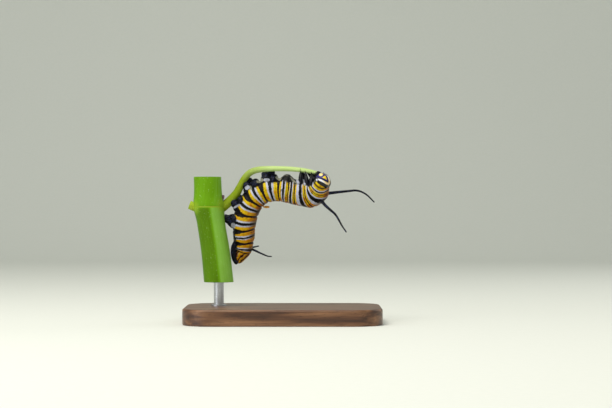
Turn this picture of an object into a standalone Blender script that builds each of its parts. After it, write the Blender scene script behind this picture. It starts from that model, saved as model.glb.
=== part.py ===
"""A full-grown monarch larva, life size, gripping a cut milkweed stem on a small display stand.

The larva hangs back down: its feet point up and left, to the leaf stalk and the stem, and its
back points down and right. Lengths are in millimetres and become metres where a mesh is made.
+X runs from the stem to the head, +Z is up, and the larva's left side faces -Y. The origin is
the middle of the base's underside.
"""

import math

import bmesh
import bpy
import numpy as np

MM = 0.001
GAP = 0.3  # clear space between pieces that touch
X_AXIS = np.array((1.0, 0.0, 0.0))
Y_AXIS = np.array((0.0, 1.0, 0.0))
Z_AXIS = np.array((0.0, 0.0, 1.0))

# Body, tail to neck: each segment's name, the middle of its black band, its half thickness, and
# where it ends on the way to the next segment's band
TAIL_END = (-11.35, 4.0, 14.55)
SEGMENTS = (
    ("abdomen_10", (-11.0, 3.95, 15.6), 1.25, 0.5),
    ("abdomen_9", (-10.6, 3.9, 16.7), 1.8, 0.5),
    ("abdomen_8", (-10.15, 3.85, 18.0), 2.3, 0.47),
    ("abdomen_7", (-9.95, 3.7, 21.0), 2.8, 0.49),
    ("abdomen_6", (-9.85, 3.3, 24.5), 3.05, 0.49),
    ("abdomen_5", (-8.8, 2.85, 28.5), 3.1, 0.5),
    ("abdomen_4", (-6.4, 2.4, 31.8), 3.1, 0.45),
    ("abdomen_3", (-3.1, 2.0, 33.1), 3.05, 0.6),
    ("abdomen_2", (0.05, 1.6, 33.1), 3.1, 0.57),
    ("abdomen_1", (1.9, 1.25, 32.8), 3.2, 0.37),
    ("thorax_3", (4.6, 0.6, 32.4), 3.45, 0.38),
    ("thorax_2", (7.2, -0.35, 32.35), 3.4, 0.62),
    ("thorax_1", (8.7, -1.4, 33.0), 3.05, 1.0),
)
NECK = (10.1, -2.9, 35.0)
NECK_HALF = 2.3
# How far the back is turned away from -Y at these segments
ROLL_SEGMENTS = ("abdomen_6", "abdomen_3", "thorax_2", "thorax_1")
ROLLS_DEG = (8.0, 15.0, 15.0, 3.0)
TAIL_CLOSING = 0.8  # half thickness at the tail's end, as a share of the last segment's
TAIL_BLUNTNESS = 2.6
BODY_SIDES = 22
EDGE_FOLD = 0.07  # depth of the fold between segments, as a share of the half thickness
EDGE_FOLD_WIDTH = 0.08  # its width, as a share of the segment's length
WRINKLE = 0.03  # depth of the shallow grooves inside a segment
WRINKLE_WIDTH = 0.05
# Colour bands of one segment, from its rear edge, each with the share of length where it ends
BANDS = (
    ("dark", 0.064),
    ("yellow", 0.217),
    ("white", 0.363),
    ("black", 0.535),
    ("white", 0.682),
    ("yellow", 0.936),
    ("dark", 1.0),
)
MID_RINGS = (0.14, 0.81)  # further rings, in the middle of the two yellow bands
TAIL_RINGS = (0.0, 0.06, 0.15, 0.3, 0.45, 0.6, 0.8, 1.0)
TAIL_ROUNDING = 0.02  # where the tail's last small ring lies, and its least share of thickness
PLEURAL_DEG = 118.0  # angle from the back of the soft ridge along each flank
PLEURAL_WIDTH_DEG = 20.0
PLEURAL_RISE = 0.035
BELLY_FLAT = 0.07
# A swelling of the belly between two segments: height, length and width in degrees
LUMP_AT = "abdomen_1"
LUMP_HEIGHT = 0.9
LUMP_LENGTH = 1.0
LUMP_WIDTH_DEG = 42.0

# Head: its middle, the way its face looks, and the way its crown points
HEAD = np.array((9.95, -3.4, 35.2))
FACE_WAY = (0.42, -0.86, 0.3)
CROWN_WAY = (0.63, -0.03, -0.78)
HEAD_HALF_WIDTH = 1.75
HEAD_HALF_HEIGHT = 2.25
HEAD_HALF_DEPTH = 1.75
HEAD_RINGS = 13
HEAD_SIDES = 22
CROWN_NOTCH = 0.09  # depth of the dip between the two lobes of the crown
NOTCH_WIDTH = 0.35
MOUTH_NARROWING = 0.22
MOUTH_DOWN_DEG = 76.0
LABRUM_RADII = (0.65, 0.5, 0.42)
MANDIBLE_RADII = (0.62, 0.5, 0.42)
MANDIBLE_OUT = 0.35
MOUTH_MESH = (8, 12)  # rings and sides
MAXILLA_BACK = 0.75
MAXILLA_RADII = (0.6, 0.6, 0.42)
ANTENNA_OUT_DEG = 38.0
ANTENNA_DOWN_DEG = 66.0
ANTENNA_DROOP = 0.5
ANTENNA_REACHES = (-0.5, 0.3, 0.65)  # from inside the head to the tip
ANTENNA_RADII = (0.27, 0.26, 0.22)
STEMMA_RADIUS = 0.16
STEMMA_MESH = (4, 6)
# The six small eyes of the left cheek: degrees out from the face's middle, and down from its middle
STEMMATA_DEG = ((62, 18), (72, 28), (74, 42), (64, 52), (52, 50), (58, 36))

# Legs and prolegs
PROLEG_SEGMENTS = (3, 4, 5, 6)
PROLEG_SPREAD_DEG = 16.0  # root's angle from the middle of the belly
PROLEG_ROOT = (1.25, 0.85)  # half length along the body, half width
PROLEG_SOLE = (0.95, 0.7)
PROLEG_BACKSET = 0.75  # the foot stands this far behind the band
PROLEG_STAGGER = 1.2  # a right foot stands this far ahead of the left one
PROLEG_BOW = 0.12
# Where a proleg narrows from root to sole: share of its length, share of the root's or sole's radii
PROLEG_NARROWING = ((0.0, 0.45, 0.6, 0.85, 1.0), (1.0, 0.95, 1.0, 1.12, 0.9))
LOBE_SPREAD_DEG = 24.0
LOBE_RADIUS = 1.1
LOBE_FORWARD = 0.9
LOBE_SUNK = 0.25
# The left tail proleg lies along the stem as a long pad. The right one mirrors it behind the body.
ANAL_PATH = (
    (-12.0, 2.95, 20.1),
    (-12.35, 2.85, 18.7),
    (-12.4, 2.85, 17.1),
    (-12.15, 2.95, 15.7),
    (-11.8, 3.05, 14.8),
)
ANAL_RADII = (0.45, 0.68, 0.74, 0.7, 0.5)
ANAL_MIDDLE_Y = 3.95
LEG_SPREAD_DEG = 33.0
LEG_RADII = (0.55, 0.54, 0.44, 0.38, 0.28, 0.25, 0.12)
LIMB_SIDES = 10
LIMB_RINGS = 6
PROLEG_SIDES = 12
PROLEG_RINGS = 9
LOBE_MESH = (7, 10)
PROLEG_SUNK = 0.7  # how deep a root starts inside the body before it is cut clear
PROLEG_HUG = 0.35  # how far a foot reaches round to its own side of the leaf stalk
SOLE_SPARE = 0.35
SOLE_REACH = 0.3
LEG_SUNK = 0.5
LEG_RINGS = 9
LEG_GRIP_X = (7.35, 5.85, 4.55)  # where the claws of pairs 1 to 3 hold the midrib
LEG_HUG = 0.8
LEG_SPARE = 0.14
LEG_BOW = 0.35
LEG_LEAN = 0.14

# Filaments, each from its root in the body to its tip
FILAMENT_SIDES = 8
FRONT_ROOT_RADIUS = 0.5
FRONT_SPLIT = 0.5  # where a front filament is parted, as a share of its length
FILAMENT_RINGS = 8
FRONT_TIP_RADIUS = 0.25
REAR_ROOT_RADIUS = 0.36
REAR_TIP_RADIUS = 0.25
FRONT_LEFT = (
    (8.9, -2.1, 31.1),
    (10.5, -3.2, 29.2),
    (11.8, -4.1, 28.0),
    (12.95, -4.8, 26.95),
    (13.75, -5.4, 25.7),
    (14.5, -5.9, 24.3),
    (15.6, -6.5, 22.65),
)
FRONT_RIGHT = (
    (9.6, 1.0, 32.2),
    (11.4, 2.0, 32.2),
    (13.1, 2.7, 32.4),
    (16.5, 3.4, 32.75),
    (18.1, 3.7, 32.9),
    (19.3, 3.9, 32.7),
    (20.5, 4.1, 32.15),
    (21.4, 4.25, 31.5),
    (22.9, 4.5, 30.0),
)
REAR_LEFT = (
    (-8.5, 3.35, 18.9),
    (-7.2, 2.9, 18.4),
    (-6.05, 2.4, 17.8),
    (-4.9, 2.0, 17.0),
    (-3.8, 1.7, 16.5),
    (-2.9, 1.5, 16.4),
)
REAR_RIGHT = (
    (-8.9, 5.0, 18.7),
    (-7.6, 6.6, 18.85),
    (-6.6, 7.8, 19.2),
    (-5.4, 9.0, 19.4),
)

# Perch: a cut length of milkweed stem and the leaf stalk that springs from its joint
STEM_PATH = (
    (-16.05, 2.0, 10.0),
    (-16.85, 2.0, 17.5),
    (-17.95, 2.0, 24.5),
    (-18.6, 2.0, 29.3),
    (-18.9, 2.0, 36.3),
)
STEM_HEIGHTS = (10.0, 28.8, 36.3)
STEM_RADII = (3.7, 3.45, 3.42)
JOINT_HEIGHT = 28.8
JOINT_SWELL = 0.4
JOINT_SWELL_LENGTH = 2.6
STEM_RINGS = 15
STEM_SIDES = 28
STALK_PATH = (
    (-17.4, 2.3, 27.4),
    (-14.4, 2.25, 29.3),
    (-11.9, 2.15, 31.85),
    (-10.8, 2.0, 33.7),
    (-9.65, 1.8, 35.8),
    (-8.35, 1.65, 37.25),
    (-6.5, 1.45, 38.0),
    (-4.0, 1.1, 38.25),
    (-1.0, 0.7, 38.3),
    (2.0, 0.2, 38.2),
    (5.0, -0.5, 37.9),
    (7.1, -1.0, 37.5),
    (8.6, -1.35, 37.15),
)
STALK_RADII = (1.5, 1.25, 1.12, 1.05, 0.97, 0.88, 0.8, 0.72, 0.64, 0.6, 0.56, 0.52, 0.42)
STALK_CUTS = (0.36, 0.66)  # where the stalk is parted, as shares of its length
STALK_NAMES = ("perch_stalk_root", "perch_stalk_bend", "perch_stalk_rib")
STALK_SIDES = 14
STALK_RINGS = 12

# Stand
BASE_LENGTH = 49.0
BASE_DEPTH = 30.0
BASE_THICKNESS = 4.0
BASE_CORNER = 7.0
BASE_BEVEL = 0.5
BASE_EASE = 0.3  # where the rounded edge passes, as a share of the bevel
BASE_CORNER_STEPS = 7
ROD_RADIUS = 1.25
ROD_SIDES = 24

# Colours as linear values, with roughness and metallic
FINISHES = {
    "black": ((0.010, 0.010, 0.014), 0.42, 0.0),
    "dark": ((0.035, 0.016, 0.012), 0.5, 0.0),
    "yellow": ((0.72, 0.45, 0.02), 0.45, 0.0),
    "white": ((0.72, 0.70, 0.68), 0.45, 0.0),
    "filament": ((0.012, 0.014, 0.018), 0.45, 0.0),
    "stem": ((0.16, 0.33, 0.05), 0.5, 0.0),
    "stalk": ((0.28, 0.42, 0.05), 0.5, 0.0),
    "wood": ((0.13, 0.06, 0.03), 0.45, 0.0),
    "steel": ((0.60, 0.61, 0.63), 0.3, 1.0),
}


def unit(vector):
    vector = np.asarray(vector, float)
    return vector / np.linalg.norm(vector)


def clear_scene():
    for obj in list(bpy.data.objects):
        bpy.data.objects.remove(obj)


def finish(name):
    """The material of this name, made the first time that it is asked for."""
    material = bpy.data.materials.get(name)
    if material is None:
        colour, roughness, metallic = FINISHES[name]
        material = bpy.data.materials.new(name)
        material.use_nodes = True
        shader = material.node_tree.nodes["Principled BSDF"]
        shader.inputs["Base Color"].default_value = (*colour, 1.0)
        shader.inputs["Roughness"].default_value = roughness
        shader.inputs["Metallic"].default_value = metallic
    return material


class Path:
    """A smooth line through a few points, read by its length."""

    STEPS = 24  # samples between two points

    def __init__(self, points):
        points = np.array(points, float)
        before = 2 * points[0] - points[1]
        after = 2 * points[-1] - points[-2]
        padded = np.vstack((before, points, after))
        samples = []
        for i in range(1, len(padded) - 2):
            p0, p1, p2, p3 = padded[i - 1 : i + 3]
            for step in range(self.STEPS):
                u = step / self.STEPS
                samples.append(
                    p1
                    + 0.5 * u * (p2 - p0)
                    + u * u * (p0 - 2.5 * p1 + 2 * p2 - 0.5 * p3)
                    + u * u * u * (1.5 * (p1 - p2) + 0.5 * (p3 - p0))
                )
        samples.append(points[-1])
        self.samples = np.array(samples)
        steps = np.linalg.norm(np.diff(self.samples, axis=0), axis=1)
        self.lengths = np.concatenate(((0.0,), np.cumsum(steps)))
        self.knots = self.lengths[:: self.STEPS]
        self.length = self.lengths[-1]

    def at(self, s):
        return np.array(
            [np.interp(s, self.lengths, self.samples[:, i]) for i in range(3)]
        )

    def way(self, s, reach=0.5):
        """The direction of the line at s, averaged over reach to each side."""
        low, high = max(s - reach, 0.0), min(s + reach, self.length)
        return unit(self.at(high) - self.at(low))

    def nearest(self, point):
        gaps = np.linalg.norm(self.samples - np.asarray(point), axis=1)
        return self.lengths[gaps.argmin()]


def mesh_from_rings(name, rings, materials, ring_materials=None):
    """A closed object whose skin joins the rings in order, with a flat cap at each end."""
    mesh = bmesh.new()
    rows = [[mesh.verts.new(tuple(p * MM)) for p in ring] for ring in rings]
    sides = len(rows[0])
    for i, (low, high) in enumerate(zip(rows, rows[1:])):
        for j in range(sides):
            k = (j + 1) % sides
            face = mesh.faces.new((low[j], low[k], high[k], high[j]))
            face.smooth = True
            face.material_index = ring_materials[i] if ring_materials else 0
    first = mesh.faces.new(list(reversed(rows[0])))
    last = mesh.faces.new(rows[-1])
    if ring_materials:
        first.material_index = ring_materials[0]
        last.material_index = ring_materials[-1]
    bmesh.ops.recalc_face_normals(mesh, faces=mesh.faces)
    data = bpy.data.meshes.new(name)
    mesh.to_mesh(data)
    mesh.free()
    obj = bpy.data.objects.new(name, data)
    bpy.context.scene.collection.objects.link(obj)
    for material in materials:
        data.materials.append(finish(material))
    return obj


def ring(centre, across, up, radii, sides):
    """Points of an ellipse, with radii along across and up."""
    turns = np.arange(sides) * 2 * math.pi / sides
    return [
        centre + radii[0] * math.cos(a) * across + radii[1] * math.sin(a) * up
        for a in turns
    ]


def tube(name, path, radius_at, sides, material, start=0.0, end=None, rings=10, level=False):
    """A round tube along a path, from start to end. Its rings lie level if asked for."""
    end = path.length if end is None else end
    side = unit(np.cross(path.way(start), Y_AXIS))
    made = []
    for s in np.linspace(start, end, rings):
        way = Z_AXIS if level else path.way(s)
        side = unit(side - way * np.dot(side, way))
        radius = radius_at(s)
        made.append(ring(path.at(s), side, np.cross(way, side), (radius, radius), sides))
    return mesh_from_rings(name, made, (material,))


def ball(name, centre, radii, ways, rings, sides, material):
    """An ellipsoid with its poles along the first of the three ways."""
    made = []
    for step in range(1, rings):
        polar = math.pi * step / rings
        middle = centre - radii[0] * math.cos(polar) * ways[0]
        scale = math.sin(polar)
        made.append(
            ring(middle, ways[1], ways[2], (radii[1] * scale, radii[2] * scale), sides)
        )
    return mesh_from_rings(name, made, (material,))


def apply_modifiers(obj):
    graph = bpy.context.evaluated_depsgraph_get()
    made = bpy.data.meshes.new_from_object(obj.evaluated_get(graph))
    obj.modifiers.clear()
    obj.data = made


def boolean(obj, operation, others):
    """Joins the others to obj, or cuts them from it, in one step. The others stay."""
    group = bpy.data.collections.new(obj.name + "_" + operation.lower())
    for other in others:
        group.objects.link(other)
    modifier = obj.modifiers.new(operation.title(), "BOOLEAN")
    modifier.operation = operation
    modifier.operand_type = "COLLECTION"
    modifier.collection = group
    apply_modifiers(obj)
    bpy.data.collections.remove(group)


def remove(objects):
    for obj in objects:
        bpy.data.objects.remove(obj)


def keep_largest(obj):
    """Deletes all but the largest closed surface of obj."""
    mesh = bmesh.new()
    mesh.from_mesh(obj.data)
    left, parts = set(mesh.verts), []
    while left:
        queue, part = [left.pop()], []
        while queue:
            vert = queue.pop()
            part.append(vert)
            for edge in vert.link_edges:
                other = edge.other_vert(vert)
                if other in left:
                    left.remove(other)
                    queue.append(other)
        parts.append(part)
    parts.sort(key=len)
    bmesh.ops.delete(
        mesh, geom=[v for part in parts[:-1] for v in part], context="VERTS"
    )
    mesh.to_mesh(obj.data)
    mesh.free()


class Body:
    """The larva's trunk: where its middle line runs, and how thick it is there."""

    def __init__(self):
        points = [TAIL_END, *(segment[1] for segment in SEGMENTS), NECK]
        self.path = Path(points)
        self.bands = self.path.knots[1:-1]
        halves = [segment[2] for segment in SEGMENTS]
        self.halves = np.array([halves[0] * TAIL_CLOSING, *halves, NECK_HALF])
        fronts = self.path.knots[2:]
        ends = [segment[3] for segment in SEGMENTS]
        self.edges = np.array([0.0, *(self.bands + ends * (fronts - self.bands))])
        self.names = [segment[0] for segment in SEGMENTS]
        self.roll_places = [self.bands[self.names.index(name)] for name in ROLL_SEGMENTS]

    def frame(self, s):
        """The trunk's middle at s, and the ways forward, to the back and to its left side."""
        forward = self.path.way(s, reach=0.8)
        down = unit(np.cross(Y_AXIS, forward))
        away = np.cross(forward, down)
        turn = math.radians(np.interp(s, self.roll_places, ROLLS_DEG))
        back = math.cos(turn) * down + math.sin(turn) * away
        return self.path.at(s), forward, back, np.cross(back, forward)

    def half(self, s):
        """Half thickness at s, rounded off at the tail."""
        tail = self.edges[1]
        plain = np.interp(s, self.path.knots, self.halves)
        if s >= tail:
            return plain
        return plain * math.sqrt(max(1 - (1 - s / tail) ** TAIL_BLUNTNESS, TAIL_ROUNDING))

    def fold(self, s):
        """The share of the half thickness that folds and grooves leave at s."""
        i = int(np.clip(np.searchsorted(self.edges, s) - 1, 0, len(self.names) - 1))
        t = (s - self.edges[i]) / (self.edges[i + 1] - self.edges[i])
        rear = math.exp(-((t / EDGE_FOLD_WIDTH) ** 2)) if i > 0 else 0.0
        front = math.exp(-(((1 - t) / EDGE_FOLD_WIDTH) ** 2))
        grooves = sum(
            math.exp(-(((t - where) / WRINKLE_WIDTH) ** 2))
            for where in (BANDS[1][1], BANDS[4][1])
        )
        return 1 - EDGE_FOLD * (rear + front) - WRINKLE * grooves

    def lump(self, s, from_back_deg):
        """How far the swelling of the belly stands out at s and at this angle from the back."""
        along = (s - self.edges[self.names.index(LUMP_AT)]) / LUMP_LENGTH
        around = (180 - from_back_deg) / LUMP_WIDTH_DEG
        return LUMP_HEIGHT * math.exp(-(along**2) - around**2)

    def section(self, s, grow=0.0, sides=BODY_SIDES):
        """The trunk's outline at s, grown outwards."""
        middle, _, back, left = self.frame(s)
        size = self.half(s) * self.fold(s)
        points = []
        for k in range(sides):
            turn = 2 * math.pi * (k + 0.5) / sides
            from_back = math.degrees(math.acos(math.cos(turn)))
            ridge = math.exp(-(((from_back - PLEURAL_DEG) / PLEURAL_WIDTH_DEG) ** 2))
            belly = (0.5 - 0.5 * math.cos(turn)) ** 3
            reach = size * (1 + PLEURAL_RISE * ridge - BELLY_FLAT * belly) + grow
            reach += self.lump(s, from_back)
            points.append(
                middle + reach * (math.cos(turn) * back + math.sin(turn) * left)
            )
        return points

    def segment(self, i):
        """One segment as a closed solid, parted from its neighbours by thin gaps."""
        low = self.edges[i] + (GAP / 2 if i else TAIL_ROUNDING)
        high = self.edges[i + 1] - (GAP if i == len(self.names) - 1 else GAP / 2)
        stops = sorted({0.0, *(end for _, end in BANDS), *MID_RINGS})
        if i == 0:
            stops = list(TAIL_RINGS)
        rings = [self.section(low + (high - low) * t) for t in stops]
        order = ("dark", "yellow", "white", "black")
        colours = [
            next(order.index(band) for band, end in BANDS if (a + b) / 2 < end)
            for a, b in zip(stops, stops[1:])
        ]
        return mesh_from_rings(self.names[i], rings, order, colours)

    def clearance(self):
        """The whole trunk, grown by the gap, to cut the roots of limbs with."""
        stops = [TAIL_ROUNDING, self.path.length]
        for low, high in zip(self.edges, self.edges[1:]):
            stops += list(low + (high - low) * np.arange(1, 8) / 8)
        rings = [self.section(s, GAP) for s in sorted(stops)]
        return mesh_from_rings("body_clearance", rings, ("black",))

    def surface(self, s, from_back_deg, depth=0.0):
        """A point on the skin at this angle from the back, positive to the left, sunk by depth."""
        middle, _, back, left = self.frame(s)
        turn = math.radians(from_back_deg)
        way = math.cos(turn) * back + math.sin(turn) * left
        return middle + (self.half(s) - depth) * way, way


def stem_radius(stem, s):
    height = stem.at(s)[2]
    plain = np.interp(height, STEM_HEIGHTS, STEM_RADII)
    swell = math.exp(-(((height - JOINT_HEIGHT) / JOINT_SWELL_LENGTH) ** 2))
    return plain + JOINT_SWELL * swell


class Perch:
    """The cut stem and the leaf stalk on it, and the shapes that keep limbs clear of them."""

    def __init__(self):
        self.stem = Path(STEM_PATH)
        self.stalk = Path(STALK_PATH)

    def stalk_radius(self, s):
        return np.interp(s, self.stalk.knots, STALK_RADII)

    def build(self):
        tube(
            "perch_stem",
            self.stem,
            lambda s: stem_radius(self.stem, s),
            STEM_SIDES,
            "stem",
            rings=STEM_RINGS,
            level=True,
        )
        marks = [0.0, *(share * self.stalk.length for share in STALK_CUTS), self.stalk.length]
        made = []
        for i, name in enumerate(STALK_NAMES):
            start = marks[i] + (GAP / 2 if i else 0.0)
            end = marks[i + 1] - (GAP / 2 if i < len(STALK_NAMES) - 1 else 0.0)
            made.append(
                tube(name, self.stalk, self.stalk_radius, STALK_SIDES, "stalk", start, end, STALK_RINGS)
            )
        cutters = self.clearances()
        trim(made[0], cutters[:1])
        remove(cutters)

    def clearances(self):
        """The stem and the whole stalk, grown by the gap."""
        stem = tube(
            "stem_clearance",
            self.stem,
            lambda s: stem_radius(self.stem, s) + GAP,
            STEM_SIDES,
            "stem",
            rings=STEM_RINGS,
            level=True,
        )
        stalk = tube(
            "stalk_clearance",
            self.stalk,
            lambda s: self.stalk_radius(s) + GAP,
            STALK_SIDES,
            "stalk",
            rings=STALK_RINGS * len(STALK_NAMES),
        )
        return stem, stalk

    def grip(self, point, side, hug, spare):
        """A point just off the nearer of stem and stalk, drawn round to this side of it by hug."""
        choices = []
        for line, radius_at in (
            (self.stem, lambda s: stem_radius(self.stem, s)),
            (self.stalk, self.stalk_radius),
        ):
            s = line.nearest(point)
            reach = np.linalg.norm(line.at(s) - point) - radius_at(s)
            choices.append((reach, line, s, radius_at(s)))
        _, line, s, radius = min(choices, key=lambda choice: choice[0])
        centre, way = line.at(s), line.way(s)
        wrap = hug if line is self.stalk else 0.0
        out = unit(point - centre) + wrap * side
        out = unit(out - way * np.dot(out, way))
        return centre + (radius + spare) * out


def taper(name, points, radii, sides, material, rings=LIMB_RINGS):
    """A round limb through the points, its radius going evenly through the radii."""
    path = Path(points)
    places = np.linspace(0.0, path.length, len(radii))
    return tube(name, path, lambda s: np.interp(s, places, radii), sides, material, rings=rings)


def trim(obj, cutters):
    """Cuts the clear spaces from obj, one after the other."""
    for cutter in cutters:
        boolean(obj, "DIFFERENCE", [cutter])
    keep_largest(obj)


def keep_side(obj, centre, way):
    """Cuts away what lies behind a plane through centre, and closes the cut."""
    mesh = bmesh.new()
    mesh.from_mesh(obj.data)
    cut = bmesh.ops.bisect_plane(
        mesh,
        geom=[*mesh.verts, *mesh.edges, *mesh.faces],
        plane_co=tuple(centre * MM),
        plane_no=tuple(way),
        clear_inner=True,
    )
    rim = [item for item in cut["geom_cut"] if isinstance(item, bmesh.types.BMEdge)]
    bmesh.ops.edgeloop_fill(mesh, edges=rim)
    bmesh.ops.recalc_face_normals(mesh, faces=mesh.faces)
    mesh.to_mesh(obj.data)
    mesh.free()


def head_ways():
    """Directions of the face, the crown and the left cheek."""
    crown = unit(CROWN_WAY)
    face = unit(np.array(FACE_WAY) - crown * np.dot(FACE_WAY, crown))
    return face, crown, np.cross(crown, face)


def head_shape(name, grow, material):
    """The head's rounded capsule, dipped between the two lobes of its crown."""
    face, crown, left = head_ways()
    rings = []
    for step in range(1, HEAD_RINGS):
        polar = math.pi * step / HEAD_RINGS
        points = []
        for k in range(HEAD_SIDES):
            turn = 2 * math.pi * k / HEAD_SIDES
            up, across = math.cos(turn), math.sin(turn)
            notch = CROWN_NOTCH * math.exp(-((across / NOTCH_WIDTH) ** 2)) * max(up, 0.0)
            narrow = 1 - MOUTH_NARROWING * max(-up, 0.0) ** 2
            points.append(
                HEAD
                + (HEAD_HALF_DEPTH + grow) * math.cos(polar) * face
                + (HEAD_HALF_HEIGHT + grow) * math.sin(polar) * up * (1 - notch) * crown
                + (HEAD_HALF_WIDTH + grow) * math.sin(polar) * across * narrow * left
            )
        rings.append(points)
    return mesh_from_rings(name, rings, (material,))


def head_point(out_deg, down_deg, grow=0.0):
    """A point on the capsule, out to the left of the face's middle and down towards the mouth."""
    face, crown, left = head_ways()
    out, down = math.radians(out_deg), math.radians(down_deg)
    way = (
        math.cos(out) * math.cos(down) * face
        + math.sin(out) * left
        - math.cos(out) * math.sin(down) * crown
    )
    halves = (HEAD_HALF_DEPTH, HEAD_HALF_WIDTH, HEAD_HALF_HEIGHT)
    parts = [np.dot(way, axis) / half for axis, half in zip((face, left, crown), halves)]
    return HEAD + way / np.linalg.norm(parts) + grow * way, way


def head(body_cutter):
    face, crown, left = head_ways()
    capsule = head_shape("head_capsule", 0.0, "black")
    bumps = []
    for out_deg, down_deg in STEMMATA_DEG:
        for mirror in (1, -1):
            place, _ = head_point(mirror * out_deg, down_deg)
            radii = (STEMMA_RADIUS,) * 3
            bumps.append(ball("stemma", place, radii, (face, crown, left), *STEMMA_MESH, "black"))
    boolean(capsule, "UNION", bumps)
    remove(bumps)
    trim(capsule, [body_cutter])
    cutter = head_shape("head_clearance", GAP, "black")
    mouth, way = head_point(0.0, MOUTH_DOWN_DEG)
    ways = (left, way, np.cross(left, way))
    jaw_at, maxilla_at = mouth + MANDIBLE_OUT * way, mouth - MAXILLA_BACK * face
    mouthparts = ball("mouthparts", jaw_at, MANDIBLE_RADII, ways, *MOUTH_MESH, "dark")
    parts = [
        ball("labrum", mouth, LABRUM_RADII, ways, *MOUTH_MESH, "white"),
        ball("maxilla", maxilla_at, MAXILLA_RADII, ways, *MOUTH_MESH, "dark"),
    ]
    boolean(mouthparts, "UNION", parts)
    remove(parts)
    trim(mouthparts, [cutter, body_cutter])
    for mirror, side in ((1, "left"), (-1, "right")):
        place, way = head_point(mirror * ANTENNA_OUT_DEG, ANTENNA_DOWN_DEG)
        way = unit(way - ANTENNA_DROOP * crown)
        points = [place + reach * way for reach in ANTENNA_REACHES]
        antenna = taper("antenna_" + side, points, ANTENNA_RADII, LIMB_SIDES, "white")
        trim(antenna, [cutter])
    remove([cutter])


def proleg(body, perch, number, mirror, side, cutters):
    """One gripping proleg of the abdomen, from a swollen root to a sole on the perch."""
    i = body.names.index(f"abdomen_{number}")
    s = body.bands[i] - PROLEG_BACKSET + (PROLEG_STAGGER if mirror < 0 else 0.0)
    angle = mirror * (180 - PROLEG_SPREAD_DEG)
    root, way = body.surface(s, angle, depth=PROLEG_SUNK)
    _, forward, _, left = body.frame(s)
    sole = perch.grip(root + way * PROLEG_SUNK, mirror * left, PROLEG_HUG, SOLE_SPARE)
    knee = 0.5 * (root + sole) + PROLEG_BOW * mirror * left
    path = Path((root, knee, sole, sole + SOLE_REACH * unit(sole - root)))
    rings = []
    for share in np.linspace(0.0, 1.0, PROLEG_RINGS):
        along = path.way(path.length * share)
        across = unit(forward - along * np.dot(forward, along))
        narrowing = np.interp(share, *PROLEG_NARROWING)
        toward_sole = np.interp(share, PROLEG_NARROWING[0][1:3], (0.0, 1.0))
        radii = [
            narrowing * (root_radius + toward_sole * (sole_radius - root_radius))
            for root_radius, sole_radius in zip(PROLEG_ROOT, PROLEG_SOLE)
        ]
        centre = path.at(path.length * share)
        rings.append(ring(centre, across, np.cross(along, across), radii, PROLEG_SIDES))
    foot = mesh_from_rings(f"proleg_{number}_{side}", rings, ("black",))
    angle = mirror * (180 - LOBE_SPREAD_DEG)
    lobe_at, lobe_way = body.surface(body.bands[i] + LOBE_FORWARD, angle, depth=LOBE_SUNK)
    ways = (lobe_way, forward, np.cross(lobe_way, forward))
    lobe = ball("lobe", lobe_at, (LOBE_RADIUS,) * 3, ways, *LOBE_MESH, "black")
    boolean(foot, "UNION", [lobe])
    remove([lobe])
    keep_side(foot, body.path.at(s) + GAP / 2 * mirror * left, mirror * left)
    trim(foot, cutters)


def anal_proleg(mirror, side, cutters):
    """One of the two prolegs that clasp the stem at the tail."""
    points = np.array(ANAL_PATH)
    if mirror < 0:
        points[:, 1] = 2 * ANAL_MIDDLE_Y - points[:, 1]
    foot = taper("proleg_10_" + side, points, ANAL_RADII, PROLEG_SIDES, "black", PROLEG_RINGS)
    trim(foot, cutters)


def true_leg(body, perch, number, mirror, side, cutters):
    """One jointed leg of the thorax, curved to a claw on the leaf's midrib."""
    i = body.names.index(f"thorax_{number}")
    s = body.bands[i]
    root, way = body.surface(s, mirror * (180 - LEG_SPREAD_DEG), depth=LEG_SUNK)
    _, forward, _, left = body.frame(s)
    stalk = perch.stalk
    s_grip = np.interp(LEG_GRIP_X[number - 1], stalk.samples[:, 0], stalk.lengths)
    out = unit(root - stalk.at(s_grip)) + LEG_HUG * mirror * left
    out = unit(out - stalk.way(s_grip) * np.dot(out, stalk.way(s_grip)))
    claw = stalk.at(s_grip) + (perch.stalk_radius(s_grip) + GAP + LEG_SPARE) * out
    knee = 0.5 * (root + claw) + LEG_BOW * mirror * left + LEG_LEAN * forward
    name = f"leg_{number}_{side}"
    leg = taper(name, (root, knee, claw), LEG_RADII, LIMB_SIDES, "black", LEG_RINGS)
    keep_side(leg, body.path.at(s) + GAP / 2 * mirror * left, mirror * left)
    trim(leg, cutters)


def filament(name, points, radii, start, end, cutters):
    """A length of a soft, thread-like horn."""
    path = Path(points)
    made = tube(
        name,
        path,
        lambda s: np.interp(s, (0.0, path.length), radii),
        FILAMENT_SIDES,
        "filament",
        start * path.length + (GAP / 2 if start else 0.0),
        end * path.length - (GAP / 2 if end < 1 else 0.0),
        FILAMENT_RINGS,
    )
    if not start:
        trim(made, cutters)


def filaments(body_cutter):
    for side, front, rear in (("left", FRONT_LEFT, REAR_LEFT), ("right", FRONT_RIGHT, REAR_RIGHT)):
        radii = (FRONT_ROOT_RADIUS, FRONT_TIP_RADIUS)
        filament("filament_front_" + side, front, radii, 0.0, FRONT_SPLIT, [body_cutter])
        filament("filament_front_tip_" + side, front, radii, FRONT_SPLIT, 1.0, [])
        radii = (REAR_ROOT_RADIUS, REAR_TIP_RADIUS)
        filament("filament_rear_" + side, rear, radii, 0.0, 1.0, [body_cutter])


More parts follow.
